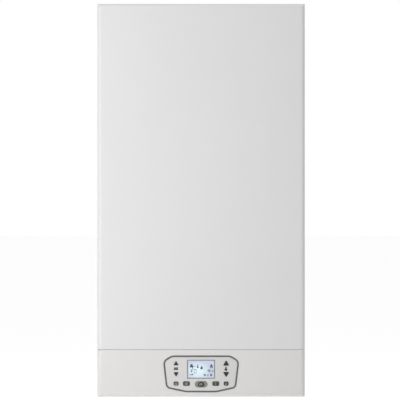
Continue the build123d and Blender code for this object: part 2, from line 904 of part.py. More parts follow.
with BuildPart() as fan_housing:
    with BuildSketch(frontal(fan_back, fan_x, fan_height)):
        with BuildLine():
            CenterArc((0, 0), scroll_start, 90, 90)
            CenterArc((scroll_growth, 0), second_radius, 180, 90)
            CenterArc((scroll_growth, scroll_growth), third_radius, 270, 90)
            Polyline(
                (outlet_edge, scroll_growth),
                (outlet_edge, outlet_height),
                (outlet_inner, outlet_height),
                (outlet_inner, tongue_height),
                (0, scroll_start),
            )
        make_face()
    extrude(amount=fan_depth)
    with BuildSketch(frontal(fan_back + fan_wall, fan_x, fan_height)):
        RegularPolygon(impeller_radius + impeller_gap, round_sides, major_radius=False)
        with Locations((outlet_edge - outlet_width / 2, outlet_height)):
            Rectangle(
                outlet_width - 2 * fan_wall, outlet_height, align=(Align.CENTER, Align.MAX)
            )
    extrude(amount=fan_depth - 2 * fan_wall, mode=Mode.SUBTRACT)
    with BuildSketch(frontal(fan_back, fan_x, fan_height)):
        RegularPolygon(impeller_eye, round_sides)
    extrude(amount=fan_wall, mode=Mode.SUBTRACT)
    with BuildSketch(frontal(fan_front, fan_x, fan_height)):
        Circle(shaft_radius + running_clearance)
    extrude(amount=-fan_wall, mode=Mode.SUBTRACT)
save(fan_housing, "fan_housing")

with BuildPart() as fan_impeller:
    with BuildSketch(frontal(impeller_front, fan_x, fan_height)):
        RegularPolygon(impeller_radius, 2 * round_sides)
    extrude(amount=-impeller_plate)
    with BuildSketch(frontal(impeller_front - impeller_plate, fan_x, fan_height)):
        with PolarLocations(impeller_radius - blade_length / 2 - blade_inset, blade_count):
            Rectangle(blade_length, blade_thickness, rotation=blade_lean)
    extrude(amount=impeller_back - impeller_front + impeller_plate)
    with BuildSketch(frontal(impeller_front, fan_x, fan_height)):
        Circle(shaft_radius)
    extrude(amount=impeller_gap + fan_wall + fan_motor_bore - shaft_end_play)
save(fan_impeller, "fan_impeller")

with BuildPart() as fan_motor:
    with BuildSketch(frontal(fan_front, fan_x, fan_height)) as motor_base:
        Rectangle(fan_motor_size, fan_motor_size)
        chamfer(motor_base.vertices(), length=fan_motor_corner)
    extrude(amount=fan_motor_length)
    with BuildSketch(frontal(fan_front, fan_x, fan_height)):
        Circle(shaft_radius + running_clearance)
    extrude(amount=fan_motor_bore, mode=Mode.SUBTRACT)
save(fan_motor, "fan_motor")

with BuildPart() as premix_duct:
    with BuildSketch(frontal(collar_front, 0, cast_height)) as duct_cap:
        Rectangle(duct_head, duct_head)
        chamfer(duct_cap.vertices(), length=duct_head_corner)
    extrude(amount=duct_depth)
    with BuildSketch(level(outlet_top, outlet_x, fan_back + fan_depth / 2)):
        Rectangle(outlet_width, fan_depth)
    with BuildSketch(level(cast_height - duct_head / 2, 0, collar_front + duct_depth / 2)):
        Rectangle(duct_neck, duct_depth)
    loft(ruled=True)
    with BuildSketch(level(outlet_top, outlet_x, fan_back + fan_depth / 2)):
        Rectangle(outlet_width + 2 * duct_flange[0], fan_depth)
    extrude(amount=duct_flange[1])
save(premix_duct, "premix_duct")

with BuildPart() as venturi:
    with BuildSketch(frontal(fan_back, fan_x, fan_height)):
        RegularPolygon(venturi_radius, round_sides)
    extrude(amount=-venturi_length)
    with BuildSketch(sideways(fan_x, fan_back - venturi_length / 2, fan_height)):
        RegularPolygon(valve_stub[0], 8)
    extrude(amount=venturi_radius + valve_stub[1])
    with BuildSketch(frontal(fan_back, fan_x, fan_height)):
        RegularPolygon(venturi_throat, round_sides)
    extrude(amount=-venturi_length, mode=Mode.SUBTRACT)
save(venturi, "venturi")

valve_x = fan_x - venturi_radius - valve_stub[1] - valve_size[0] / 2
valve_front = fan_back - valve_set_back
valve_middle = valve_front - valve_depth / 2
valve_bottom = fan_height - valve_size[1] / 2

with BuildPart() as gas_valve:
    with BuildSketch(frontal(valve_front, valve_x, fan_height)) as valve_face:
        Rectangle(*valve_size)
        chamfer(valve_face.vertices(), length=duct_flange[0])
    extrude(amount=-valve_depth)
    with BuildSketch(frontal(valve_front, valve_x - valve_coil_x, fan_height)):
        with GridLocations(0, valve_coil_spacing, 1, 2):
            Rectangle(*valve_coil[:2])
    extrude(amount=valve_coil[2])
save(gas_valve, "gas_valve")


# ================================================================ water works
def manifold(side):
    """A hydraulic block: its outer leg rises into a barrel, its inner leg serves the exchanger."""
    block_bottom = port_height - block_height / 2
    block_top = port_height + block_height / 2
    with BuildPart() as block:
        with BuildSketch(frontal(port_depth - block_depth / 2)):
            for leg_x, leg_width in zip((outer_x, connection_pitch), leg_widths):
                with Locations((side * leg_x, manifold_base)):
                    Rectangle(
                        leg_width, block_top - manifold_base, align=(Align.CENTER, Align.MIN)
                    )
            with Locations((side * (outer_x + connection_pitch) / 2, port_height)):
                Rectangle(outer_x - connection_pitch + 2 * block_overhang, block_height)
        extrude(amount=block_depth)
        with BuildSketch(frontal(port_depth, side * exchanger_port_x, plate_stack_height)):
            Rectangle(*exchanger_port)
        extrude(amount=plate_back - port_depth)
        with BuildSketch(level(block_top, side * outer_x, port_depth)):
            RegularPolygon(barrel_radius, round_sides)
        extrude(amount=barrel_top - block_top)
    return block


save(manifold(-1), "flow_manifold")
save(manifold(1), "return_manifold")

with BuildPart() as plate_heat_exchanger:
    for index in range(plate_count):
        for step, inset in enumerate((0, plate_lip)):
            layer_depth = plate_back + (index + step / 2) * plate_pitch
            with BuildSketch(frontal(layer_depth, 0, plate_stack_height)) as layer:
                Rectangle(plate_stack_size[0] - 2 * inset, plate_stack_size[1] - 2 * inset)
                chamfer(layer.vertices(), length=plate_corner - inset)
            extrude(amount=plate_pitch / 2)
save(plate_heat_exchanger, "plate_heat_exchanger")

pump_back = port_depth - pump_thickness / 2
pump_front = port_depth + pump_thickness / 2
pump_bottom = pump_height - pump_size[1] / 2
vent_side = vent_x + vent_radius

with BuildPart() as pump_housing:
    with BuildSketch(frontal(pump_back, outer_x, pump_height)) as volute:
        Rectangle(*pump_size)
        chamfer(volute.vertices(), length=pump_corner)
    extrude(amount=pump_thickness)
    with BuildSketch(level(barrel_top, outer_x, port_depth)):
        Rectangle(pump_neck, pump_neck)
    extrude(amount=pump_bottom - barrel_top)
    with BuildSketch(level(pump_height, outer_x, port_depth)):
        RegularPolygon(pump_port[0], round_sides)
    extrude(amount=pump_port[1])
    with BuildSketch(sideways(outer_x, port_depth, pump_height)):
        Rectangle(vent_boss, vent_boss)
    extrude(amount=outer_x - vent_side)
save(pump_housing, "pump_housing")

with BuildPart() as pump_motor:
    with BuildSketch(frontal(pump_front, outer_x, pump_height)):
        RegularPolygon(pump_motor_radius, 2 * round_sides)
    extrude(amount=pump_motor_length)
    terminal_depth = pump_front + pump_terminal_gap + pump_terminal_box[2] / 2
    with BuildSketch(level(pump_height, outer_x, terminal_depth)):
        Rectangle(pump_terminal_box[0], pump_terminal_box[2])
    extrude(amount=pump_motor_radius + pump_terminal_box[1])
save(pump_motor, "pump_motor")

with BuildPart() as air_vent:
    with BuildSketch(level(vent_heights[0], vent_x, port_depth)):
        RegularPolygon(vent_radius, 12)
    extrude(amount=vent_heights[1] - vent_heights[0])
    with BuildSketch(level(vent_heights[1], vent_x, port_depth)):
        RegularPolygon(vent_radius / 2, 6)
    extrude(amount=vent_radius / 2)
    with BuildSketch(sideways(vent_side, port_depth, pump_height)):
        Rectangle(vent_boss, vent_boss)
    extrude(amount=vent_radius)
save(air_vent, "air_vent")

with BuildPart() as diverter_actuator:
    with BuildSketch(level(barrel_top, -outer_x, port_depth)):
        Rectangle(*actuator_size)
    extrude(amount=actuator_height)
    chamfer(diverter_actuator.faces().sort_by(Axis.Z)[-1].edges(), length=actuator_corner)
save(diverter_actuator, "diverter_actuator")

block_end = outer_x + block_overhang
relief_x = block_end + relief_reach / 2
relief_front = port_depth + relief_body / 2

with BuildPart() as relief_valve:
    with BuildSketch(sideways(relief_x, port_depth, port_height)):
        Rectangle(relief_body, relief_body)
    extrude(amount=relief_reach / 2, both=True)
    with BuildSketch(level(port_height, relief_x, port_depth)):
        Circle(relief_drain_radius)
    extrude(amount=outlet_end - port_height)
    with BuildSketch(frontal(relief_front, relief_x, port_height)):
        RegularPolygon(relief_bonnet[0], 6)
    extrude(amount=relief_bonnet[1])
save(relief_valve, "relief_valve")

filling_x = (connection_pitch + outer_x + (leg_widths[1] - leg_widths[0]) / 2) / 2
filling_length = outer_x - connection_pitch - (leg_widths[0] + leg_widths[1]) / 2
filling_front = port_depth + filling_body / 2

with BuildPart() as filling_valve:
    with BuildSketch(sideways(filling_x, port_depth, filling_height)):
        Rectangle(filling_body, filling_body)
    extrude(amount=filling_length / 2, both=True)
    with BuildSketch(frontal(filling_front, filling_x, filling_height)):
        RegularPolygon(filling_bonnet[0], 6)
    extrude(amount=filling_bonnet[1])
save(filling_valve, "filling_valve")


def knob(depth, x, height, radius, length):
    """A grip with flats that turns in front of its bonnet."""
    with BuildPart() as grip:
        with BuildSketch(frontal(depth + knob_clearance, x, height)):
            RegularPolygon(radius, knob_sides)
        extrude(amount=length)
        chamfer(grip.faces().sort_by(Axis.Y)[0].edges(), length=radius / 6)
    return grip


save(knob(relief_front + relief_bonnet[1], relief_x, port_height, *relief_knob), "relief_knob")
save(
    knob(filling_front + filling_bonnet[1], filling_x, filling_height, *filling_knob),
    "filling_knob",
)

tails = [
    (-outer_x, three_quarter_radius, three_quarter_bore),
    (-connection_pitch, half_inch_radius, half_inch_bore),
    (0, half_inch_radius, half_inch_bore),
    (connection_pitch, half_inch_radius, half_inch_bore),
    (outer_x, three_quarter_radius, three_quarter_bore),
]

with BuildPart() as connection_tails:
    for tail_x, tail_radius, tail_bore in tails:
        with BuildSketch(level(tail_bottom, tail_x, port_depth)):
            Circle(tail_radius)
            Circle(tail_bore, mode=Mode.SUBTRACT)
        extrude(amount=union_height - tail_bottom)
        with BuildSketch(level(union_height, tail_x, port_depth)):
            RegularPolygon(union_across / 2, 6, major_radius=False)
        extrude(amount=union_thickness)
save(connection_tails, "connection_tails")

slots = [(tail_x, tail_radius) for tail_x, tail_radius, tail_bore in tails]
slots.append((relief_x, relief_drain_radius))

with BuildPart() as bottom_bracket:
    with BuildSketch(level(bracket_height)):
        with Locations((0, -chassis_depth)):
            Rectangle(
                2 * chassis_half,
                bracket_reach - chassis_depth,
                align=(Align.CENTER, Align.MAX),
            )
        for slot_x, tail_radius in slots:
            with Locations((slot_x, tail_radius + slot_play - port_depth)):
                Rectangle(
                    2 * (tail_radius + slot_play),
                    bracket_reach,
                    align=(Align.CENTER, Align.MAX),
                    mode=Mode.SUBTRACT,
                )
    extrude(amount=chassis_sheet)
    with BuildSketch(level(bracket_height)):
        with Locations((0, -chassis_depth)):
            Rectangle(2 * chassis_half, chassis_sheet, align=(Align.CENTER, Align.MAX))
        for side in (-1, 1):
            with Locations((side * (chassis_half - chassis_sheet / 2), -chassis_depth)):
                Rectangle(
                    chassis_sheet, bracket_reach - chassis_depth, align=(Align.CENTER, Align.MAX)
                )
    extrude(amount=bracket_flange)
save(bottom_bracket, "bottom_bracket")


# ================================================================ pipes
def bent_pipe(*corners, radius, elbow):
    """A pipe along straight runs whose corners are cut short, as a soldered elbow does."""
    points = [Vector(*corners[0])]
    for before, corner, after in zip(corners, corners[1:], corners[2:]):
        for neighbour in (before, after):
            toward = (Vector(*neighbour) - Vector(*corner)).normalized()
            points.append(Vector(*corner) + toward * elbow)
    points.append(Vector(*corners[-1]))
    with BuildPart() as pipe:
        with BuildLine() as route:
            Polyline(*points)
        with BuildSketch(Plane(origin=route.line @ 0, z_dir=route.line % 0)):
            RegularPolygon(radius, pipe_sides)
        sweep(transition=Transition.RIGHT)
    return pipe


flow_pipe = bent_pipe(
    at(-stub_end, flue_depth, flow_stub_height),
    at(-flow_pipe_x, flue_depth, flow_stub_height),
    at(-flow_pipe_x, flue_depth, flow_pipe_turn),
    at(-flow_pipe_x, port_depth, port_height),
    at(-block_end, port_depth, port_height),
    radius=pipe_radius,
    elbow=elbow,
)
save(flow_pipe, "flow_pipe")

pump_port_top = pump_height + pump_port[1]
return_pipe = bent_pipe(
    at(stub_end, flue_depth, return_stub_height),
    at(return_pipe_x, flue_depth, return_stub_height),
    at(return_pipe_x, flue_depth, return_pipe_turn),
    at(outer_x, port_depth, pump_port_top + pipe_end_run),
    at(outer_x, port_depth, pump_port_top),
    radius=pipe_radius,
    elbow=elbow,
)
save(return_pipe, "return_pipe")

gas_pipe = bent_pipe(
    at(0, port_depth, manifold_base),
    at(0, port_depth, gas_pipe_turn),
    at(valve_x, valve_middle, gas_pipe_turn + pipe_end_run),
    at(valve_x, valve_middle, valve_bottom),
    radius=gas_pipe_radius,
    elbow=elbow,
)
save(gas_pipe, "gas_pipe")

vessel_pipe = bent_pipe(
    at(vessel_port_x, vessel_port_depth, vessel_bottom - vessel_port[1]),
    at(vessel_port_x, vessel_port_depth, vessel_pipe_turn),
    at(vessel_port_x, port_depth, port_height),
    at(connection_pitch - block_overhang, port_depth, port_height),
    radius=vessel_pipe_radius,
    elbow=small_elbow,
)
save(vessel_pipe, "vessel_pipe")

with BuildPart() as condensate_siphon:
    with BuildSketch(level(siphon_heights[0], siphon_x, siphon_depth)):
        RegularPolygon(siphon_radius, siphon_sides)
    extrude(amount=siphon_heights[1] - siphon_heights[0])
    with BuildSketch(level(siphon_heights[1], siphon_x, siphon_depth)):
        RegularPolygon(siphon_neck, siphon_sides)
    extrude(amount=condensate_end - siphon_heights[1])
save(condensate_siphon, "condensate_siphon")

with BuildPart() as condensate_hose:
    with BuildSketch(level(siphon_heights[0], siphon_x, siphon_depth)):
        Circle(hose_radius)
    extrude(amount=outlet_end - siphon_heights[0])
save(condensate_hose, "condensate_hose")
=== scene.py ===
"""The looks of a white wall-hung combi boiler: case, control unit and the works behind them."""

import json

import bmesh
import bpy
import numpy as np
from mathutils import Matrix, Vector

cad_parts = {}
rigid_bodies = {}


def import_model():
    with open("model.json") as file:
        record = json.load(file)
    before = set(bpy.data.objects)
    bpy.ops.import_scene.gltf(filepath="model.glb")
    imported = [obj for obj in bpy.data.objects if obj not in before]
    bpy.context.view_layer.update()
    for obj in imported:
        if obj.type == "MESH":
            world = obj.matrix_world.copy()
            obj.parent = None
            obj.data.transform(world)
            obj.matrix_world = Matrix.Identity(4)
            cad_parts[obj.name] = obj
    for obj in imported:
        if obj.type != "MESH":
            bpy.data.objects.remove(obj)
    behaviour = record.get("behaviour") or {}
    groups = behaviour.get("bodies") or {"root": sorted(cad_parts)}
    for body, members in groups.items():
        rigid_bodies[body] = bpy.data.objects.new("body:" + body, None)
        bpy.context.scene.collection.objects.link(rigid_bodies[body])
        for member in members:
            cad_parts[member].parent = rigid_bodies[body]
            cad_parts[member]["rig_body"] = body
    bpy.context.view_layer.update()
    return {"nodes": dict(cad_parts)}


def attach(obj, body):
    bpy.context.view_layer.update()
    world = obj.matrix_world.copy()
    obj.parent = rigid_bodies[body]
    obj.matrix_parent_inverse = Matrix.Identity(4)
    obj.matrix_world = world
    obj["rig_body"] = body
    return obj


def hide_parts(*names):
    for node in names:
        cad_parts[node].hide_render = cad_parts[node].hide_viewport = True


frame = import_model()

# ---- camera, floor and studio light
# A long lens square to the front, level with the middle of the case, before a white paper floor
# and backdrop. A tall soft key lamp at the left front leaves the right side a little darker.
CAMERA_FROM_FRONT = 4
CAMERA_X, CAMERA_Z = -0.0023, -0.3729
SENSOR = 36
PHOTO_WIDTH = 0.8486  # metres across the picture, at the widest outline
OUTLINE_BEHIND_FRONT = 0.01
FRONT = -0.350
FLOOR_Z = -1.02
scene = bpy.context.scene


def linear(tone):
    """The linear RGBA of sRGB hex: c / 12.92 up to 0.04045, else ((c + 0.055) / 1.055)^2.4."""
    c = np.array([int(tone[i : i + 2], 16) / 255 for i in (1, 3, 5)])
    return (*np.where(c <= 0.04045, c / 12.92, ((c + 0.055) / 1.055) ** 2.4), 1)


def node(tree, kind, inputs=(), **settings):
    """Adds one shader node. An input is a value, an output, or a node for its first output."""
    made = tree.nodes.new("ShaderNode" + kind)
    for name, value in settings.items():
        setattr(made, name, value)
    for socket, value in dict(inputs).items():
        if isinstance(value, bpy.types.Node):
            value = value.outputs[0]
        if isinstance(value, bpy.types.NodeSocket):
            tree.links.new(value, made.inputs[socket])
        else:
            made.inputs[socket].default_value = value
    return made


def seen_directly(tree):
    """1 for a ray from the camera, off gloss or through glass, else 0: the greatest of three."""
    rays = node(tree, "LightPath").outputs
    seen = rays["Is Camera Ray"]
    for kind in ("Is Glossy Ray", "Is Transmission Ray"):
        seen = node(tree, "Math", {0: seen, 1: rays[kind]}, operation="MAXIMUM")
    return seen


def placed(name, data):
    """A new object in the scene."""
    made = bpy.data.objects.new(name, data)
    scene.collection.objects.link(made)
    return made


def soft_lamp(name, place, aim, size, power):
    """A rectangular area lamp at a place, turned to its aim."""
    lamp = placed(name, bpy.data.lights.new(name, "AREA"))
    lamp.data.shape = "RECTANGLE"
    lamp.data.size, lamp.data.size_y = size
    lamp.data.energy = power
    lamp.visible_camera = False
    lamp.location = place
    lamp.rotation_euler = (Vector(aim) - Vector(place)).to_track_quat("-Z", "Y").to_euler()


camera = placed("camera", bpy.data.cameras.new("camera"))
camera.location = (CAMERA_X, FRONT - CAMERA_FROM_FRONT, CAMERA_Z)
camera.rotation_euler = (np.pi / 2, 0, 0)
camera.data.sensor_width = SENSOR
camera.data.lens = SENSOR * (CAMERA_FROM_FRONT + OUTLINE_BEHIND_FRONT) / PHOTO_WIDTH
camera.data.clip_end = 100
scene.camera = camera
scene.view_settings.view_transform = "Standard"

# The top lamp shows the roof and its rolled edge, the side lamp the right edge, and the low one,
# just under the object, the fascia's lower edge.
soft_lamp("key_lamp", (-1.15, -1.87, -0.25), (0, -0.35, -0.4), (0.8, 2), 23.8)
soft_lamp("top_lamp", (0.3, -0.5, 1.8), (0.1, -0.2, -0.3), (1.6, 0.9), 6.8)
soft_lamp("side_lamp", (2.2, -0.6, 0.1), (0, -0.25, -0.4), (1.2, 1.6), 6.2)
soft_lamp("low_lamp", (0.05, -0.335, -0.97), (0.05, -0.335, -0.79), (1, 0.06), 0.3)

scene.world = bpy.data.worlds.new("white_studio")
scene.world.use_nodes = True
tree = scene.world.node_tree
tree.nodes.clear()
white = linear("#FFFFFF")
ambient = node(tree, "Background", {"Color": white, "Strength": 0.365})
backdrop = node(tree, "Background", {"Color": white, "Strength": 1})
both = node(tree, "MixShader", {0: seen_directly(tree), 1: ambient, 2: backdrop})
node(tree, "OutputWorld", {0: both})

paper = bpy.data.materials.new("white_studio_paper")
paper.use_nodes = True
tree = paper.node_tree
tree.nodes.clear()
matt = node(tree, "BsdfDiffuse", {"Color": linear("#E9E9E9")})
# The paper's painted white glow fades out near the object, which paints the floor darker
# around it, so that its soft shadow shows on the floor.
ground = node(tree, "TexCoord").outputs["Object"]
ground = node(tree, "Mapping", {"Vector": ground, "Location": (0, 0.2, -FLOOR_Z)})
reach = node(tree, "VectorMath", {0: ground}, operation="LENGTH").outputs["Value"]
away = {"Value": reach, "From Min": 0.7, "From Max": 1.7, "To Min": 0.34, "To Max": 0.68}
painted_floor_glow = node(tree, "MapRange", away, interpolation_type="SMOOTHSTEP")
glow = node(tree, "Emission", {"Color": white, "Strength": painted_floor_glow})
none = node(tree, "Emission", {"Color": linear("#000000"), "Strength": 0})
painted_floor_glow = node(tree, "MixShader", {0: seen_directly(tree), 1: none, 2: glow})
node(tree, "OutputMaterial", {0: node(tree, "AddShader", {0: matt, 1: painted_floor_glow})})

ground = bpy.data.meshes.new("floor")
corners = [(x, y, FLOOR_Z) for x, y in ((-30, -30), (30, -30), (30, 30), (-30, 30))]
ground.from_pydata(corners, [], [(0, 1, 2, 3)])
ground.materials.append(paper)
placed("floor", ground)

# ---- case: cover, sides and roof
# Folded 1 mm sheet steel under a white polyester powder coat. The cover is a tray with its edges
# rolled to 10 mm; the sides and the roof are plain folded panels behind it.
MM = 0.001
CREASE = 32  # degrees between two faces, past which the edge between them is sharp


def finish(name, **values):
    """A new material with plain values on its shader; also its tree and object coordinates."""
    material = bpy.data.materials.new(name)
    material.use_nodes = True
    tree = material.node_tree
    for socket, value in values.items():
        tree.nodes["Principled BSDF"].inputs[socket].default_value = value
    return material, tree, node(tree, "TexCoord").outputs["Object"]


def sized(spot, size, **more):
    """A pattern's inputs, its scale worked out from a real size in millimetres."""
    return {"Vector": spot, "Scale": 1 / (size * MM), **more}


def feed(made, socket):
    """Joins a node's first output to a socket of its material's shader."""
    tree = made.id_data
    tree.links.new(made.outputs[0], tree.nodes["Principled BSDF"].inputs[socket])


def toned(pattern, tones, ends=(0, 1)):
    """Colours the surface from one tone to another as a pattern rises between two ends."""
    ramp = node(pattern.id_data, "ValToRGB", {0: pattern})
    for stop, place, tone in zip(ramp.color_ramp.elements, ends, tones):
        stop.position, stop.color = place, linear(tone)
    feed(ramp, "Base Color")
    return ramp


def raised(pattern, strength, depth):
    """Gives the surface a pattern's relief, with its real depth in millimetres."""
    relief = {"Height": pattern, "Strength": strength, "Distance": depth * MM}
    feed(node(pattern.id_data, "Bump", relief), "Normal")


def solid(name, form, material, crease=CREASE):
    """An object from a bmesh: faces outward, smooth but for the edges past the crease."""
    bmesh.ops.recalc_face_normals(form, faces=form.faces)
    mesh = bpy.data.meshes.new(name)
    form.to_mesh(mesh)
    form.free()
    mesh.materials.append(material)
    mesh.shade_smooth()
    mesh.set_sharp_from_angle(angle=np.radians(crease))
    return placed(name, mesh)


def softened(name, material, width, segments=2):
    """Stands for a CAD node: its form, merged, its sharp edges rounded by a width in mm."""
    source = frame["nodes"][name]
    form = bmesh.new()
    form.from_mesh(source.data)
    bmesh.ops.remove_doubles(form, verts=form.verts, dist=0.002 * MM)
    bmesh.ops.dissolve_limit(
        form, angle_limit=np.radians(1), verts=form.verts, edges=form.edges, delimit=set()
    )
    piece = solid(name + "_form", form, material)
    edge = piece.modifiers.new("edge", "BEVEL")
    edge.width, edge.segments = width * MM, segments
    edge.limit_method = "ANGLE"
    edge.angle_limit = np.radians(CREASE)
    edge.harden_normals = True
    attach(piece, source["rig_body"])
    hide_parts(name)


# Polyester powder coat, baked: an even satin white with a faint orange peel 2 mm across.
powder_white, tree, spot = finish("polyester_powder_coat_white", Roughness=0.42, IOR=1.5)
toned(node(tree, "TexNoise", sized(spot, 300, Detail=3)), ("#E8E7E7", "#ECEBEB"))
raised(node(tree, "TexNoise", sized(spot, 2, Detail=2)), 0.25, 0.04)
for name in ("front_cover", "left_side_panel", "right_side_panel", "top_panel"):
    softened(name, powder_white, 0.4)

# ---- chassis
# Folded galvanised sheet, 1.2 to 2 mm: the back panel, the wall bracket with its two hooks, the
# frame that carries the exchanger, and the bottom bracket that holds the tails.


def scuffed(pattern, low, high):
    """Lets the roughness run from low to high with a pattern."""
    rough = {"Value": pattern, "To Min": low, "To Max": high}
    feed(node(pattern.id_data, "MapRange", rough), "Roughness")


# Hot-dip zinc: a mosaic of crystals 9 mm across, each a slightly different grey and shine.
galvanised, tree, spot = finish("galvanised_steel_sheet", Metallic=1)
spangle = node(tree, "TexVoronoi", sized(spot, 9)).outputs["Color"]
spangle = node(tree, "RGBToBW", {0: spangle})
toned(spangle, ("#9FA3A6", "#B9BDBF"))
scuffed(spangle, 0.36, 0.5)
raised(node(tree, "TexNoise", sized(spot, 1.1, Detail=3)), 0.3, 0.03)
for name in ("back_panel", "wall_bracket", "exchanger_frame", "bottom_bracket"):
    softened(name, galvanised, 0.3)

# ---- studs, spring clips, hinge pins
# The cover's four studs snap into spring clips on the sides, and the fascia tilts on two pins.
# All are turned or pressed steel with a bright zinc plating.


def grained(name, size, detail, rough, tones, relief=None, ends=(0, 1), **values):
    """A finish with one grain of a size in millimetres, or of three sizes across, out and up.
    It runs through the roughness and the tones where they are pairs, and may give a relief."""
    material, tree, spot = finish(name, **values)
    if np.ndim(size):
        spot = node(tree, "Mapping", sized(spot, np.array(size)))
        size = 1 / MM  # one grain to each unit of the scaled spot
    grain = node(tree, "TexNoise", sized(spot, size, Detail=detail))
    plain = tree.nodes["Principled BSDF"].inputs
    if isinstance(tones, str):
        plain["Base Color"].default_value = linear(tones)
    else:
        toned(grain, tones, ends)
    if np.isscalar(rough):
        plain["Roughness"].default_value = rough
    else:
        scuffed(grain, *rough)
    if relief:
        raised(grain, *relief)
    return material


# Electroplated zinc: brighter and finer than the sheet, with faint turning marks.
bright_zinc = grained("zinc_plated_steel", 0.7, 2, (0.22, 0.36), "#C9CBCC", (0.2, 0.02), Metallic=1)
for name in ("cover_studs", "cover_clips", "hinge_pins"):
    softened(name, bright_zinc, 0.25)

# ---- fascia and its foam strip
# Injection-moulded white ABS with the same rolled edges as the cover above it. A white foam strip
# is bonded along its top edge and closes the joint below the cover, but for half a millimetre.
UNDERSIDE = -0.790
CASE = "boiler_body"
FASCIA_TOP, JOINT, GAP = 98.5, 2.5, 0.5
STRIP_BACK, STRIP_FRONT, STRIP_WIDE = 324, 349.6, 434


def spot_at(x, depth, height):
    """Metres in the frame for millimetres across, out from the wall and up from the underside."""
    x, depth, height = np.broadcast_arrays(x, depth, height)
    return np.stack([x * MM, -depth * MM, UNDERSIDE + height * MM], -1)


def skin(name, parts, material, body=CASE, crease=CREASE, stands_for=None):
    """One object from closed parts, each an array (rings, points, 3). Quads join neighbouring
    rings, which close on themselves; the first and last are capped, unless they are the same."""
    places, faces, start = [], [], 0
    for rings in parts:
        rows, across = rings.shape[:2]
        index = start + np.arange(rows * across).reshape(rows, across)
        near, far = index[:-1], index[1:]
        quads = np.stack([near, np.roll(near, -1, 1), np.roll(far, -1, 1), far], -1)
        faces += quads.reshape(-1, 4).tolist()
        if not np.allclose(rings[0], rings[-1], atol=1e-8):
            faces += [index[0][::-1].tolist(), index[-1].tolist()]
        places.append(rings.reshape(-1, 3))
        start += rows * across
    loose = bpy.data.meshes.new("loose_rings")
    loose.from_pydata(np.concatenate(places).tolist(), [], faces)
    form = bmesh.new()
    form.from_mesh(loose)
    bpy.data.meshes.remove(loose)
    bmesh.ops.remove_doubles(form, verts=form.verts, dist=1e-7)
    piece = solid(name, form, material, crease)
    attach(piece, body)
    if stands_for:
        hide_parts(stands_for)


def bar(x, height, width, high, lean=0):
    """A rectangle about (x, height), its top moved across by lean."""
    half = np.array([[-1, -1], [1, -1], [1, 1], [-1, 1]]) / 2
    return half * (width, high) + (x, height) + half[:, 1:] * (lean, 0)


def plates(outlines, back, front):
    """A flat plate from each outline (points, 2), its back and front at two depths. The k-th is
    0.01 (k mod 7) mm further forward, so that of two that cross one covers the other."""
    return [
        np.stack([spot_at(o[:, 0], d, o[:, 1]) for d in (back, front + 0.01 * (k % 7))])
        for k, o in enumerate(outlines)
    ]


# Spark-eroded mould texture, drawn 1 mm coarse so that it shows, over a plain satin white.
abs_white = grained("moulded_abs_white", 1, 2, 0.4, "#E8E7E6", (0.2, 0.03), IOR=1.53)
softened("control_fascia", abs_white, 0.5)

# Cross-linked foam: matt, with cells drawn 0.8 mm wide.
closed_foam, tree, spot = finish("closed_cell_foam_white", Roughness=0.8)
toned(node(tree, "TexVoronoi", sized(spot, 0.8)), ("#D9D9D7", "#EDEDEB"))
strip = bar(0, FASCIA_TOP + (JOINT - GAP) / 2, STRIP_WIDE, JOINT - GAP)
strip = plates([strip], STRIP_BACK, STRIP_FRONT)
skin("joint_foam_strip", strip, closed_foam, "control_panel")

# ---- control unit: trim ring
# A moulded ring of dark grey ABS, 3 mm wide, snapped into the fascia's cut-out round the plate.
# Polished tool finish: a soft dark sheen that catches a thin light line along the ring.
trim_abs = grained("moulded_abs_dark_grey", 1.4, 1, 0.32, "#62615F", (0.12, 0.03), IOR=1.53)
softened("control_unit_trim", trim_abs, 0.6, 3)

# ---- control unit: printed plate
# A grey plate with a printed polycarbonate film fills the ring; the window and keys sit in it.
# Between each pair of arrows is a sign: a radiator on the left, a tap's drop on the right.
PLATE_FACE = 349.8
HALF_UNIT = 80 * MM


def around(points):
    """Angles spread evenly round a circle."""
    return np.linspace(0, 2 * np.pi, points, endpoint=False)


def oval(x, height, wide, high, points=24, tip=0):
    """(wide cos t ((1 - sin t) / 2)^tip, high sin t) / 2: an ellipse, or with a tip a drop."""
    t = around(points)
    across = wide / 2 * np.cos(t) * np.clip((1 - np.sin(t)) / 2, 0, 1) ** tip
    return np.stack([x + across, height + high / 2 * np.sin(t)], -1)


# Fine matt film: a pale warm grey with a grain of half a millimetre. Painted light makes it
# lighter to the left, as if lit from that side.
film_grey_painted_lit_left, tree, spot = finish("printed_polycarbonate_film", Roughness=0.48, IOR=1.58)
# Painted light: the colour runs from lighter at the unit's left edge to darker at its right.
across = node(tree, "SeparateXYZ", {0: spot}).outputs["X"]
across = {"Value": across, "From Min": -HALF_UNIT, "From Max": HALF_UNIT}
toned(node(tree, "MapRange", across), ("#E3E1DF", "#DDDDDC"))
raised(node(tree, "TexNoise", sized(spot, 0.5, Detail=1)), 0.2, 0.02)
softened("control_unit_plate", film_grey_painted_lit_left, 0.3)

# Screen-printed ink: black, slightly thinner in patches.
plate_ink = grained("screen_print_black", 1.1, 2, 0.5, ("#2B2A29", "#403F3D"))
signs = [bar(-53.2 + 2.2 * k, 60, 1.7, 5.6, 0.8) for k in (-1.5, -0.5, 0.5, 1.5)]
signs += [bar(-53.2, 60 + k, 9, 1.2) for k in (-1.8, 1.8)]
signs += [oval(52.6, 59.4, 9.2, 7.8, 24, 0.8), bar(52.6, 63.4, 4.4, 1.2)]
signs = plates(signs, PLATE_FACE - 0.02, PLATE_FACE + 0.06)
skin("plate_signs", signs, plate_ink, "control_panel")

# ---- display
# A lit liquid-crystal display behind its window: a printed grey line round it, a pale blue glow,
# and dark blue-grey signs for hot water, heat, flame, pressure and a figure.
LCD_WIDTH, LCD_HIGH, LCD_MIDDLE, LCD_FACE = 58.7, 39.7, 59, 349.3
GLOW_X, GLOW_HEIGHT, GLOW_FLATTER = -7, 56, 1.25
LINE = 1.7


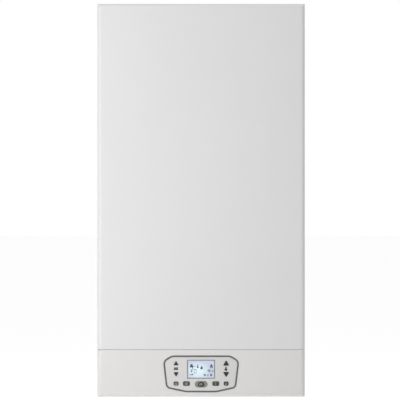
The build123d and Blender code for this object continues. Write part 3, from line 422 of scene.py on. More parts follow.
def recoat(name, material):
    """Gives a CAD node, whose shape is right, a better material."""
    coats = frame["nodes"][name].data.materials
    coats.clear()
    coats.append(material)


def unit(vectors):
    """Each vector over its length."""
    return vectors / np.linalg.norm(vectors, axis=-1, keepdims=True)


def arcs(before, corners, after, radius, steps):
    """Rounds each corner of angle a: from its arc's centre, sin(pi - a - s) start + sin(s) end
    over sin(a), as s runs from 0 to pi - a."""
    u, v = unit(before - corners), unit(after - corners)
    a = np.arccos((u * v).sum(1, keepdims=True))
    centre = corners + radius * (u + v) / np.sin(a)
    start, end = (corners + radius * w / np.tan(a / 2) - centre for w in (u, v))
    s = np.linspace(0, 1, steps) * (np.pi - a)
    share = np.stack([np.sin(np.pi - a - s), np.sin(s)], -1) / np.sin(a)[..., None]
    return (centre[:, None] + share @ np.stack([start, end], 1)).reshape(-1, corners.shape[1])


def rounded(corners, radius, steps=5):
    """A closed outline with round corners; two steps cut them off straight."""
    corners = np.array(corners, float)
    return arcs(np.roll(corners, 1, 0), corners, np.roll(corners, -1, 0), radius, steps)


def nought(x, height, wide, high, stroke):
    """A seven-segment 0: six bars with pointed ends, set round its middle."""
    flat = np.array([[-1, 0], [-0.7, 0.5], [0.7, 0.5], [1, 0], [0.7, -0.5], [-0.7, -0.5]])
    level = flat * (wide / 2 - stroke * 0.1, stroke)
    upright = (flat * (high / 4 - stroke * 0.1, stroke))[:, ::-1]
    spots = [(level, 0, 2), (upright, 1, 1), (upright, 1, -1)]
    spots += [(level, 0, -2), (upright, -1, -1), (upright, -1, 1)]
    return [outline + (x + a * wide / 2, height + b * high / 4) for outline, a, b in spots]


# Backlit glass: pale blue, brightest left of the middle, smooth and clear. The distance from the
# glow's centre takes in a little of the depth, which rounds the glow off.
lit, tree, spot = finish("backlit_lcd_glass", Roughness=0.12, **{"Emission Strength": 0.3})
centre = (-GLOW_X * MM, 0, -GLOW_FLATTER * (UNDERSIDE + GLOW_HEIGHT * MM))
centred = {"Vector": spot, "Location": centre, "Scale": (1, 0.05, GLOW_FLATTER)}
centred = node(tree, "Mapping", centred)
far = node(tree, "VectorMath", {0: centred}, operation="LENGTH").outputs["Value"]
far = node(tree, "MapRange", {"Value": far, "From Min": 8 * MM, "From Max": 31 * MM})
feed(toned(far, ("#E6FDFF", "#BDC6D8")), "Emission Color")
recoat("lcd_window", lit)

tap = [bar(-20.3, 68.7, 5.4, 1.4), bar(-20.3, 67.1, 1.8, 2.4), bar(-20.3, 65, 6.6, 4.2)]
tap += [bar(-17.9, 62.6, 2, 2.4), oval(-17.9, 60.3, 2.4, 2.8, 24, 0.8)]
rose = rounded([(18.4, 64.4), (25.2, 64.4), (23.4, 68), (20.2, 68)], 0.4)
shower = [bar(21.8, 68.6, 1.6, 2.2), rose]
shower += [bar(21.8 + k, 62.6, 1.4, 2.8) for k in (-2.2, 0, 2.2)]
status = [bar(-7.1, 66.6, 1.8, 5.2), oval(-7.1, 63, 4, 4)]  # thermometer
status += [oval(1.2, 62.6, 8.4, 7.8, 24, 0.8)]  # flame
status += [oval(17, 55.9, 4, 4)]  # sun and its rays
status += [oval(17 + 3.4 * np.cos(t), 55.9 + 3.4 * np.sin(t), 1.3, 1.3, 10) for t in around(8)]
status += [bar(-20.6, 55.2, 1.5, 6.4), bar(-19.1, 57.6, 2.2, 1.2), bar(-19.1, 54.8, 2.2, 1.2)]
status += [bar(24.8, 55.2, 1.7, 4.8, 2), bar(-20.2, 47.2, 7.2, 1.5), bar(-17.8, 48.7, 1.8, 1.8)]
status += [bar(7.8, 46.8, 4.2, 3.4), bar(14.4, 46.4, 2.4, 2.6), bar(21.2, 46.8, 3.6, 5)]
reading = nought(-12.5, 54.6, 4.4, 8.2, 1.3) + [bar(-13.7, 65.2, 6.4, 1.1)]
for name, outlines, kind, tones in (
    ("display_tap_and_shower", tap + shower, "dark", ("#22333D", "#3B4A54")),
    ("display_status_signs", status, "grey", ("#4A6470", "#66798A")),
    ("display_reading", reading, "pale", ("#8599A8", "#9DAFBF")),
):
    # Liquid-crystal segments: flat and smooth, some fully driven and some faint, each uneven.
    ink = grained("lcd_segments_" + kind, 11, 1, 0.25, tones)
    outlines = plates(outlines, LCD_FACE - 0.02, LCD_FACE + 0.05)
    skin(name, outlines, ink, "control_panel")

# Printed grey line: matt, a little worn in tone.
bezel_ink = grained("printed_bezel_grey", 16, 2, 0.5, ("#66686B", "#7E8184"))
side, top = (LCD_WIDTH - LINE) / 2, (LCD_HIGH - LINE) / 2
bezel = [bar(0, LCD_MIDDLE + y, LCD_WIDTH, LINE) for y in (top, -top)]
bezel += [bar(x, LCD_MIDDLE, LINE, LCD_HIGH - 2 * LINE) for x in (-side, side)]
bezel = plates(bezel, LCD_FACE - 0.02, LCD_FACE + 0.12)
skin("display_bezel", bezel, bezel_ink, "control_panel")

# ---- keys
# Moulded silicone keys that rise 1.2 mm through the plate: arrows for heating on the left and for
# hot water on the right, four small pads, and a long oval with a dark round centre.
KEY_BACK, KEY_FRONT, KEY_EDGE, KEY_CROWN = 346.5, 351, 0.5, 0.05
KEY_CREASE = 50


def block(outline, x, height, steps):
    """A moulded block: its outline about (x, height), scaled by each step's share, at its depth."""
    a, b = outline.T
    return np.stack([spot_at(x + a * share, depth, height + b * share) for share, depth in steps])


def dome(outline, x, height, back, front, edge, crown):
    """A soft cap: the outline runs forward, turns in over a round edge, and its face rises to a
    low crown, depth = front + crown (1 - s^2) at the share s of the outline."""
    turn = np.linspace(0, np.pi / 2, 5)[1:]
    rim = 1 - edge / np.abs(outline).max() * (1 - np.cos(turn))
    inner = np.linspace(1, 0.02, 7)[1:] * rim[-1]
    share = np.concatenate([[1, 1], rim, inner])
    face = front + crown * (1 - (inner / rim[2]) ** 2)
    depth = np.concatenate([[back, front - edge], front - edge + edge * np.sin(turn), face])
    return block(outline, x, height, zip(share, depth))


def arrow(size, way):
    """A triangle with rounded corners, its point up (way 1) or down (way -1)."""
    t = np.radians([90, 210, 330])
    return rounded(size * np.stack([np.cos(t), way * np.sin(t)], -1), size * 0.14)


def pad(width, high, radius):
    """A rectangle with rounded corners."""
    return rounded(bar(0, 0, width, high), radius)


def dotted_ring(x, height, first, last, wide):
    """Short bars round a circle of 2 mm, open at its top: every 28 degrees from first to last."""
    spots = np.radians(range(first, last, 28))
    return [bar(x + 2 * np.sin(t), height + 2 * np.cos(t), wide, 0.9) for t in spots]


rubbers = {}
for kind, tones in (
    ("dark", ("#242322", "#363534")),
    ("grey", ("#41433F", "#51534E")),
    ("light_grey", ("#858680", "#96978F")),
):
    # Silicone rubber in three greys: soft, with a dusty sheen drawn 0.8 mm coarse.
    rubbers[kind] = grained("silicone_rubber_" + kind, 0.8, 2, 0.55, tones, (0.2, 0.02), IOR=1.41)

for name, outline, x, height, kind in (
    ("heating_up_key", arrow(6, 1), -53, 70.5, "dark"),
    ("heating_down_key", arrow(6, -1), -53, 49.5, "dark"),
    ("water_up_key", arrow(7.2, 1), 53, 70.5, "dark"),
    ("water_down_key", arrow(7.2, -1), 53, 49.5, "dark"),
    ("power_key", pad(10, 8, 1.9), -53, 28.6, "grey"),
    ("menu_key", pad(14, 9, 1.9), -31, 28.6, "grey"),
    ("select_key", pad(26, 13, 6.3), 0, 27.2, "light_grey"),
    ("info_key", pad(14, 9, 1.9), 31, 28.6, "grey"),
    ("reset_key", pad(10, 8, 1.9), 53, 28.6, "dark"),
):
    cap = [dome(outline, x, height, KEY_BACK, KEY_FRONT, KEY_EDGE, KEY_CROWN)]
    skin(name + "_cap", cap, rubbers[kind], name + "_body", KEY_CREASE, name)
centre = [dome(oval(0, 0, 14.6, 11.2, 32), 0, 27, KEY_FRONT - 0.4, KEY_FRONT + 0.1, 0.3, 0.1)]
skin("select_key_centre", centre, rubbers["dark"], "select_key_body", KEY_CREASE)

# Pad-printed ink: thin and pale, a little uneven.
key_print = grained("pad_print_light_grey", 1.1, 2, 0.6, ("#A9AAA4", "#C6C7C1"))
back_arrow = [bar(-0.6, 28.6, 5, 0.9), bar(1.9, 27.3, 0.9, 3.4), bar(-0.6, 26, 5, 0.9)]
back_arrow += [rounded([(-4.6, 26), (-2.6, 24.8), (-2.6, 27.2)], 0.15, 3)]
for name, outlines, low, high in (
    ("power_key", [bar(-53, 30.2, 0.8, 2.8)] + dotted_ring(-53, 28.4, 50, 330, 1), 0, 0.12),
    ("menu_key", [bar(-31, 28.6 + 1.7 * k, 6.2, 0.7) for k in (-1, 0, 1)], 0, 0.12),
    ("info_key", [bar(31, 27.6, 1, 3.4), oval(31, 30.9, 1.3, 1.3, 12)], 0, 0.12),
    ("reset_key", dotted_ring(53, 28.6, 20, 320, 0.95), 0, 0.12),
    ("select_key", back_arrow, 0.1, 0.3),
):
    prints = plates(outlines, KEY_FRONT + low, KEY_FRONT + high)
    skin(name + "_print", prints, key_print, name + "_body")

# ---- control box
# A flame-retardant moulding behind the fascia. Its lid of the same plastic slopes from the rear
# wall up to the fascia, and six screws stand square to that slope.
UP, DOWN, LEFT, RIGHT = (0, 0, 1), (0, 0, -1), (-1, 0, 0), (1, 0, 0)
OUT, TO_WALL = (0, -1, 0), (0, 1, 0)
LID_FOOT = np.array([221.2, 47.3])
LID_SLOPE = unit(np.array([78, 48]))


def turned(profile, place, axis, points=32, shape=np.ones_like):
    """A body turned about an axis through a place (x, depth, height): rings of the profile's
    radius at its length, in millimetres; shape scales the radius by angle."""
    axis = np.array(axis, float)
    side = unit(np.cross(axis, (0.3, 0.2, 1) if abs(axis[2]) < 0.9 else (1, 0.2, 0.3)))
    t = around(points)
    radius, length = np.array(profile, float).T * MM
    ring = np.cos(t)[:, None] * side + np.sin(t)[:, None] * np.cross(axis, side)
    reach = (radius[:, None] * shape(t))[..., None]
    return spot_at(*place) + reach * ring + length[:, None, None] * axis


def screws(name, seats, radius, body=CASE):
    """Pan-head screws with a round recess, each head standing on its seat (place, axis)."""
    head = [(1, 0), (1, 0.25), (0.92, 0.5), (0.7, 0.68), (0.42, 0.74), (0.36, 0.35), (0.02, 0.3)]
    heads = [turned(radius * np.array(head), *seat, 20) for seat in seats]
    skin(name, heads, bright_zinc, body)


# Dull mid grey with a coarse 1.5 mm mould grain.
tones = ("#85888A", "#8F9294")
box_plastic = grained("flame_retardant_abs_grey", 1.5, 3, 0.55, tones, (0.35, 0.06))
softened("control_box", box_plastic, 0.6)
softened("control_box_lid", box_plastic, 0.4)
square = (0, LID_SLOPE[1], LID_SLOPE[0])
seats = [((x, *(LID_FOOT + LID_SLOPE * r)), square) for x in (-188, 0, 188) for r in (7, 84)]
screws("lid_screws", seats, 3.2, "control_panel")

# ---- circuit boards
# Glass-epoxy boards under green solder mask: the main board on posts in the box, and the display
# board with the switches behind the keys.
# Glossy green lacquer; the copper under it shows as lighter lines in rows 2 mm apart.
solder_mask, tree, spot = finish("solder_mask_green", Roughness=0.28)
rows = {"Color1": linear("#12502A"), "Color2": linear("#17603A"), "Mortar": linear("#2C7A4B")}
feed(node(tree, "TexBrick", sized(spot, 8, **rows)), "Base Color")
for name in ("display_board", "main_board"):
    recoat(name, solder_mask)

# ---- flue collar
# A white enamelled aluminium collar stands on the roof, held by four screws. Lip seals line its
# two mouths, for the 60 mm and the 100 mm tube, and rubber caps close its test points.
FLUE_DEPTH, COLLAR_FACE = 150, 836

# Sprayed enamel on aluminium: whiter and glossier than the case.
flue_paint = grained("stove_enamel_white", 1.4, 2, 0.3, "#E9E9E7", (0.2, 0.03))
softened("flue_collar", flue_paint, 0.6)
seats = [((x, FLUE_DEPTH + y, COLLAR_FACE), UP) for x in (-53, 53) for y in (-49, 49)]
screws("collar_screws", seats, 3.4)

# Moulded seal rubber: deep black with a soft bloom.
seal_rubber = grained("epdm_rubber", 3.3, 3, 0.62, ("#151515", "#232323"))
# Each seal is a ring of round section: r = radius + thickness cos v, l = thickness sin v.
v = np.linspace(0, 2 * np.pi, 13)
rings = [np.stack([r + a * np.cos(v), a * np.sin(v)], -1) for r, a in ((49.9, 0.9), (29.9, 0.8))]
rings = [turned(ring, (0, FLUE_DEPTH, COLLAR_FACE - 8), UP, 64) for ring in rings]
skin("collar_seals", rings, seal_rubber)
cap = [(5.2, -0.2), (5.2, 1.2), (4.6, 1.8), (4.4, 4.2), (3.8, 5), (0.1, 5.2)]
caps = [turned(cap, (x, FLUE_DEPTH, COLLAR_FACE), UP, 28) for x in (-57, 57)]
skin("test_point_caps", caps, seal_rubber)

# ---- flue pipe
# Bare drawn aluminium, rising from the casting into the collar. Four screws hold its foot, and a
# band with a worm screw holds its joint.
PIPE_FOOT = 703

# Turned or drawn aluminium: bright, with fine lines half a millimetre apart round the part.
machined = grained(
    "machined_aluminium", (16, 16, 0.5), 2, (0.25, 0.42), "#C8C9CA", (0.15, 0.02), Metallic=1
)
softened("flue_pipe", machined, 0.3)
seats = [((x, FLUE_DEPTH + y, PIPE_FOOT), UP) for x in (-31, 31) for y in (-31, 31)]
screws("flue_foot_screws", seats, 3.2)
band = [(31.9, 0), (33.6, 0), (33.9, 1), (33.9, 2.2), (33.2, 3.2), (33.2, 10.8), (33.9, 11.8)]
band += [(33.9, 13), (33.6, 14), (31.9, 14), (31.9, 0)]
worm = [(0.1, -9), (4, -9), (4, 9), (3.4, 9.6), (0.1, 9.6)]
clamp = [turned(band, (0, FLUE_DEPTH, 742), UP, 64), turned(worm, (0, 186.5, 749), RIGHT, 24)]
skin("flue_band", clamp, bright_zinc)

# ---- heat exchanger and burner door
# A ribbed sand casting in aluminium, closed by a cast door on eight nuts with a graphite rope
# between the two. A brass ring holds a sight glass in the door.
CAST_MIDDLE, DOOR_FACE = 590, 217.2
SIGHT_GLASS = (-70, DOOR_FACE, 560)


def hexagon(t):
    """The radius of a hexagon one unit across its half-flats: 1 / cos(t to the nearest flat)."""
    return 1 / np.cos((t + np.pi / 6) % (np.pi / 3) - np.pi / 6)


# Sand-cast aluminium: a dull, pitted skin with a grain of 2 mm, and patches of tone.
cast_metal, tree, spot = finish("sand_cast_aluminium", Metallic=0.85, Roughness=0.58)
toned(node(tree, "TexNoise", sized(spot, 60, Detail=3)), ("#9C9C9A", "#B4B4B1"))
raised(node(tree, "TexNoise", sized(spot, 2, Detail=5, Roughness=0.65)), 0.6, 0.22)
softened("heat_exchanger", cast_metal, 1.2)
softened("burner_door", cast_metal, 0.9)

washer = [(6.6, 0), (6.6, 0.8), (5, 0.8), (0.1, 0.8)]
nut = [(5, 0), (5, 4.2), (4.5, 5), (3.1, 5), (0.1, 5)]
stud = [(3, 0), (3, 8.2), (2.6, 8.8), (0.1, 8.8)]
nuts = []
for a, b in ((106, 60), (60, 113)):
    for seat in [(x, DOOR_FACE, CAST_MIDDLE + y) for x in (-a, a) for y in (-b, b)]:
        nuts += [turned(washer, seat, OUT, 24), turned(nut, seat, OUT, 24, hexagon)]
        nuts += [turned(stud, seat, OUT, 20)]
skin("door_nuts", nuts, bright_zinc)
rope = plates([rounded(bar(0, CAST_MIDDLE, 227.4, 241.4), 26.2, 2)], 212.4, 213.9)
skin("door_rope", rope, seal_rubber)

# Hot-pressed and turned brass: yellow, fairly bright, a little stained.
brass = grained("machined_brass", 14, 4, 0.3, ("#B8934D", "#D2B06A"), Metallic=1)
ring = [(10.5, 0), (10.5, 3.4), (9.6, 4.4), (7, 4.4), (6.6, 2.6), (0.1, 2.6)]
skin("sight_glass_ring", [turned(ring, SIGHT_GLASS, OUT, 48)], brass)
# Thick borosilicate glass stained by heat: dark amber, mirror smooth.
tones = ("#1A1410", "#33241A")
smoked_glass = grained("borosilicate_glass_smoked", 6, 2, 0.06, tones, IOR=1.47)
lens = [(6.5, 2.4), (6.3, 3), (4.4, 3.5), (2.2, 3.8), (0.1, 3.9)]
skin("sight_glass", [turned(lens, SIGHT_GLASS, OUT, 36)], smoked_glass)

# ---- burner and electrodes
# The burner is a drum of metal fibre knitted over perforated steel and hangs behind the door. Two
# electrodes in white ceramic pass through the door, under boots of red-brown silicone.
# Heat-tinted fibre: brown-grey with a 2 mm mesh.
fibre, tree, spot = finish("knitted_metal_fibre", Metallic=0.7, Roughness=0.6)
toned(node(tree, "TexVoronoi", sized(spot, 2)), ("#3A322D", "#7D7067"))
softened("burner", fibre, 0.6)
# Glazed alumina: warm white and smooth.
ceramic = grained("alumina_ceramic", 4, 2, 0.2, ("#DDD8CB", "#E8E4DA"))
softened("electrodes", ceramic, 0.6)
# High-temperature silicone: brick red, matt, slightly dusty.
silicone_boot = grained("silicone_rubber_red_brown", 2, 2, 0.6, ("#7A2A1E", "#8F3728"))
boot = [(4.1, 0), (6.2, 0), (6.4, 1.5), (6.1, 12), (5.2, 15), (3.6, 19), (2.9, 21), (0.1, 21)]
boots = [turned(boot, (x, 231, 560), OUT, 28) for x in (59, 81)]
skin("electrode_boots", boots, silicone_boot)

# ---- premix fan and duct
# A cast scroll with a black brushless motor. Its bladed wheel draws gas and air through the
# venturi and blows the mixture up a black nylon duct to the burner door.
FAN_X, FAN_HEIGHT = -70, 385
SCROLL_FACE, SCROLL_BACK = 272.2, 234.2

# Glass-filled nylon: satin black with the faint streaks that the fibre leaves.
tones = ("#1B1B1D", "#2B2B2E")
duct_nylon = grained("glass_filled_nylon_black", (1.4, 1.4, 11), 3, 0.42, tones, (0.2, 0.04))
softened("premix_duct", duct_nylon, 3, 4)
softened("fan_motor", duct_nylon, 1.5, 3)
softened("fan_housing", cast_metal, 1)
softened("fan_impeller", machined, 0.2)
turns = np.radians([35, 145, 215, 325])
seats = [(FAN_X + 43 * np.cos(t), SCROLL_FACE, FAN_HEIGHT + 43 * np.sin(t)) for t in turns]
screws("fan_screws", [(seat, OUT) for seat in seats], 3)
cap = [(24, 34), (24, 35.4), (22.5, 36), (9, 36), (8.6, 35), (0.2, 35)]
cap = [turned(cap, (FAN_X, SCROLL_FACE, FAN_HEIGHT), OUT, 48)]
skin("fan_motor_cap", cap, cast_metal)
plug = pad(17, 15, 2.2)
steps = ((1, 353.2), (1, 347), (0.88, 345.6), (0.1, 345.5))
fan_plug = [spot_at(FAN_X + plug[:, 0] * s, 294 + plug[:, 1] * s, height) for s, height in steps]
skin("fan_plug", [np.stack(fan_plug)], duct_nylon)

# ---- venturi and gas valve
# The venturi is turned aluminium, screwed to the fan's eye, and gas enters it by a side stub. The
# valve is a casting with two coils, a regulator under a cap and two brass test nipples.
VALVE_FACE = 232.2
mouth = [(26, 0), (28, 3), (28, 36), (24.5, 40), (17.5, 40), (17.2, 34), (14, 20), (17, 4)]
mouth += [(17.4, 0), (26, 0)]
venturi = [turned(mouth, (FAN_X, SCROLL_BACK, FAN_HEIGHT), TO_WALL, 48)]
venturi += [turned([(10, 0), (10, 8), (0.2, 8)], (-96, 214.2, FAN_HEIGHT), LEFT, 24)]
skin("venturi_turned", venturi, machined, stands_for="venturi")

softened("gas_valve", cast_metal, 1.2, 3)
cap = [(14, -0.5), (14, 2), (12.6, 3), (12.6, 7), (11.6, 8), (4, 8), (3.6, 6.4), (0.1, 6.4)]
cap = [turned(cap, (-135, 207.2, 420), UP, 40)]
skin("valve_regulator_cap", cap, machined)
screws("valve_screws", [((-128, VALVE_FACE, height), OUT) for height in (359, 411)], 2.8)
nipple = [(3.6, 0), (3.6, 2), (2.6, 3), (2.6, 8.4), (2.2, 9), (1.2, 9), (1, 8), (0.1, 8)]
nipples = [turned(nipple, (-128, VALVE_FACE, height), OUT, 24) for height in (374, 396)]
skin("test_nipples", nipples, brass)
steps = ((1, 262), (1, 269), (0.9, 270.6), (0.1, 270.7))
plugs = [block(plug, -149, height, steps) for height in (369, 401)]
skin("coil_plugs", plugs, duct_nylon)

# ---- expansion vessel
# Two pressed steel halves, rolled together at a seam, dip-painted red, with a capped air valve
# below. It stands against the back panel.
# Dipped enamel: deep gloss red with slow runs 30 mm apart.
vessel_red = grained("gloss_enamel_red", 30, 2, 0.28, ("#8E1512", "#A31D18"), (0.2, 0.4))
softened("expansion_vessel", vessel_red, 4, 4)
seam = plates([rounded(bar(0, 500, 405.6, 305.6), 33.8, 2)], 53.2, 56.8)
skin("vessel_seam", seam, vessel_red)
stem = [(6, -0.5), (6, 2.5), (5.6, 3), (5.6, 14), (5, 15.5), (0.1, 15.8)]
stem = [turned(stem, (-150, 55, 350), DOWN, 28)]
skin("vessel_valve_cap", stem, duct_nylon)

# ---- water blocks
# Moulded composite blocks carry the plate exchanger, the pump and the diverter, and join them to
# the tails. The air vent and the diverter's actuator are black nylon.
# Glass-filled polyamide: dark grey, slightly mottled by its fibre.
tones = ("#3C3D40", "#4A4B4E")
composite = grained("glass_filled_polyamide_grey", 2.4, 4, 0.5, tones, (0.25, 0.06))
for name in ("flow_manifold", "return_manifold", "pump_housing"):
    softened(name, composite, 1.2, 3)
for name in ("air_vent", "diverter_actuator"):
    softened(name, duct_nylon, 1, 3)

# ---- plate heat exchanger
# Six stainless plates are pressed with chevrons, stacked, and brazed with copper in a furnace.
# Each plate's edge is turned over the next, and the braze shows as a warm line under it.
STACK_BACK, PLATE_PITCH, PLATE_COUNT, STACK_HEIGHT = 118, 6.6, 6, 100
STACK_FRONT = STACK_BACK + PLATE_PITCH * PLATE_COUNT
PORT_X, PORT_Y = 72, 22


def turned_edges(wide, high, corner, lip):
    """The stack's side: each plate runs out to its lip and back in over a third of the pitch."""
    outer, inner = pad(wide, high, corner), pad(wide - 2 * lip, high - 2 * lip, corner - lip)
    steps = [(outer, 0.02), (outer, 0.16), (inner, 0.38), (inner, 0.98)]
    steps = [(o, STACK_BACK + PLATE_PITCH * (k + s)) for k in range(PLATE_COUNT) for o, s in steps]
    return np.stack([spot_at(o[:, 0], depth, STACK_HEIGHT + o[:, 1]) for o, depth in steps])


def pressed_face(wide, high, rows, across):
    """The front plate's chevrons: depth = front + 0.45 sin(2 pi (h + |x| / 2) / 8.5), flat over
    the four ports and towards the edge; each port has a round rim 0.5 high."""
    x, h = np.meshgrid(np.linspace(-0.5, 0.5, across) * wide, np.linspace(-0.5, 0.5, rows) * high)
    ridge = 0.45 * np.sin(2 * np.pi * (h + np.abs(x) / 2) / 8.5)
    port = np.hypot(np.abs(x) - PORT_X, np.abs(h) - PORT_Y)
    edge = np.minimum(wide / 2 - np.abs(x), high / 2 - np.abs(h))
    open_share = np.clip((port - 10) / 3, 0, 1) * np.clip(edge / 2, 0, 1)
    rim = 0.5 * np.clip(2.2 - np.abs(port - 8.2) / 0.9, 0, 1)
    face = spot_at(x, STACK_FRONT - 0.2 + ridge * open_share + rim, STACK_HEIGHT + h)
    back = spot_at(-x, STACK_FRONT - 1.6, STACK_HEIGHT + h)
    return np.concatenate([face, back], 1)


# Brazed stainless: bright, lightly brushed, with a copper line in each plate's pitch.
stainless, tree, spot = finish("brazed_stainless_plates", Metallic=1)
layer = {"Value": node(tree, "SeparateXYZ", {0: spot}).outputs["Y"]}
layer.update({"From Min": -STACK_BACK * MM, "From Max": -(STACK_BACK + PLATE_PITCH) * MM})
layer = node(tree, "MapRange", layer, clamp=False)
layer = node(tree, "Math", {0: layer}, operation="FRACT")
steel = toned(layer, ("#C6C5C2", "#C6C5C2"), (0.3, 0.62))
steel.color_ramp.elements.new(0.45).color = linear("#B4774F")
scuffed(node(tree, "TexNoise", sized(spot, 3.3, Detail=3)), 0.2, 0.38)
stack = [turned_edges(190, 76, 12, 2), pressed_face(178, 64, 100, 170)]
skin("brazed_plate_stack", stack, stainless, CASE, 60, "plate_heat_exchanger")

# ---- pump motor
# A wet-rotor motor: a cast shell with shallow ribs, a smooth end with a brass bleed screw, and a
# terminal box on top, screwed shut, with a cable gland. The diverter's actuator has one too.
PUMP_X, PUMP_HEIGHT = 130, 185
BOX_HEIGHT, BOX_FACE = 233, 150


def ribs(t):
    """Thirty shallow ribs round the motor: r scales by 1 + 0.02 tanh(4 sin 30t)."""
    return 1 + 0.02 * np.tanh(4 * np.sin(30 * t))


shell = [(39, 0), (39, 2), (38.2, 4), (38.2, 54), (37, 57), (0.2, 57)]
end = [(36.5, 54), (36.5, 60), (33, 63.5), (20, 65), (12, 65.6), (11, 64), (0.2, 64)]
seat = (PUMP_X, 100, PUMP_HEIGHT)
motor = [turned(shell, seat, OUT, 240, ribs), turned(end, seat, OUT, 64)]
motor += [block(pad(44, 16, 2), PUMP_X, BOX_HEIGHT, ((1, 110), (1, BOX_FACE)))]
motor += [block(bar(0, 0, 30, 26), PUMP_X, 215, ((1, 112), (1, 148)))]
skin("pump_motor_ribbed", motor, cast_metal, stands_for="pump_motor")
bleed = [(8, -0.6), (8, 1.6), (7, 2.4), (5.2, 2.4), (5, 1.4), (0.1, 1.4)]
bleed = [turned(bleed, (PUMP_X, 165.6, PUMP_HEIGHT), OUT, 36)]
skin("pump_bleed_screw", bleed, brass)
gland = np.array([(6, -0.5), (6, 5), (5, 6.5), (3.4, 7.4), (2.4, 7.4), (0.1, 7.4)])
glands = [turned(gland, (PUMP_X - 22, 130, BOX_HEIGHT), LEFT, 24, hexagon)]
glands += [turned(gland * 0.8, (-130, 80, 189), UP, 24, hexagon)]
skin("cable_glands", glands, duct_nylon)
seats = [((PUMP_X + side, BOX_FACE, BOX_HEIGHT), OUT) for side in (-17, 17)]
screws("terminal_box_screws", seats, 2.4)

# ---- valves, tails and their knobs
# Relief valve, filling valve and the five tails are hot-pressed brass. The knobs are acetal, red
# on the relief valve and blue on the filling valve, each with a raised pointer on its face.
for name in ("relief_valve", "filling_valve", "connection_tails"):
    softened(name, brass, 0.6)

for name, slot, tones, place, radius, length, lobes in (
    ("relief_knob", "knob_red", ("#A8201B", "#B92B24"), (165, 125.3, 90), 15, 20, 8),
    ("filling_knob", "knob_blue", ("#1F4E93", "#2A5CA6"), (96.5, 112.3, 42), 14, 18, 6),
):
    # Moulded acetal: a plain strong colour with a waxy sheen.
    acetal = grained("moulded_acetal_" + name, 3.3, 2, 0.38, tones)
    x, depth, height = place
    grip = [(0.82, 0), (0.82, 0.15), (1, 0.25), (1, 0.8)]
    grip += [(0.95, 0.94), (0.84, 1), (0.3, 1), (0.02, 0.97)]
    grip = np.array(grip) * (radius, length)
    # The grip's lobes: its radius scales by 1 - 0.035 (1 + cos(lobes t)).
    knob = [turned(grip, place, OUT, 96, lambda t: 1 - 0.035 * (1 + np.cos(lobes * t)))]
    pointer = bar(x, height + 0.46 * radius, 0.2 * radius, 0.68 * radius)
    knob += plates([pointer], depth + length - 0.6, depth + length + 0.9)
    skin(name + "_grip", knob, acetal, name + "_body", 40, name)

# ---- pipes
# Bent copper tube, 18 mm for heating, 15 mm for gas, 10 mm for the vessel, with brass union nuts
# where the pipes end.


def tube(line, radius, points=24):
    """A round tube: at each point of the line a circle of the radius, square to the line's
    direction, its first side carried on from the ring before."""
    along = unit(np.gradient(line, axis=0))
    side = np.cross(along[0], (0.31, 0.2, 0.93))
    sides = []
    for direction in along:
        side = unit(side - direction * (side @ direction))
        sides.append([side])
    other = np.cross(along[:, None], sides)
    t = around(points)[:, None]
    return line[:, None] + radius * (np.cos(t) * sides + np.sin(t) * other)


# Drawn copper, handled: warm, fairly bright, with duller brown clouds 20 mm across.
tones = ("#A5684A", "#CE8B69")
tube_finish = {"ends": (0.35, 0.7), "Metallic": 1}
copper = grained("drawn_copper_tube", 20, 5, (0.38, 0.22), tones, **tube_finish)
flow = [(-123, 150, 560), (-192, 150, 560), (-192, 150, 170), (-192, 80, 90), (-147, 80, 90)]
back = [(123, 150, 540), (170, 150, 540), (170, 150, 300), (130, 80, 262), (130, 80, 235)]
gas = [(0, 80, 29.2), (0, 80, 225), (-135, 207.2, 252), (-135, 207.2, 350)]
vessel = [(30, 55, 342), (30, 55, 120), (30, 80, 90), (48, 80, 90)]
for name, corners, radius, bend in (
    ("flow_pipe", flow, 9, 24),
    ("return_pipe", back, 9, 20),
    ("gas_pipe", gas, 7.5, 20),
    ("vessel_pipe", vessel, 5, 12),
):
    corners = spot_at(*np.array(corners).T)
    bends = arcs(corners[:-2], corners[1:-1], corners[2:], bend * MM, 9)
    line = np.concatenate([corners[:1], bends, corners[-1:]])
    skin(name + "_bent", [tube(line, radius * MM)], copper, CASE, 50, name)

nut = np.array([(0.9, 0), (1, 1.2), (1, 12.8), (0.9, 14), (0.72, 14), (0.7, 16), (0.1, 16)])
ends = [(flow[0], LEFT, 14), (flow[-1], LEFT, 14), (back[0], RIGHT, 14), (back[-1], UP, 14)]
ends += [(gas[-1], DOWN, 12), (gas[0], UP, 12), (vessel[0], DOWN, 8.5), (vessel[-1], LEFT, 8.5)]
nuts = [turned(nut * (half_flats, 1), *end, 36, hexagon) for *end, half_flats in ends]
skin("union_nuts", nuts, brass)

# ---- condensate siphon and hose
# A grey polypropylene trap under the casting, welded from two halves, with a ribbed hose that
# hangs straight down from it to the underside.
DRAIN_X, DRAIN_DEPTH = 60, 182
HOSE_END, HOSE_TOP = 8, 330

# Polypropylene: waxy grey with soft flow marks.
polypropylene = grained("polypropylene_grey", 16, 2, 0.45, ("#8B8F91", "#989C9E"))
trap = [(0.2, 0), (10, 0), (10, 6), (20, 12), (22.5, 18), (22.5, 72), (23.9, 72), (23.9, 84)]
trap += [(20, 89), (9, 89.5), (9, 130), (0.2, 130)]
trap = [turned(trap, (DRAIN_X, DRAIN_DEPTH, HOSE_TOP), UP, 48)]
skin("condensate_trap", trap, polypropylene, stands_for="condensate_siphon")
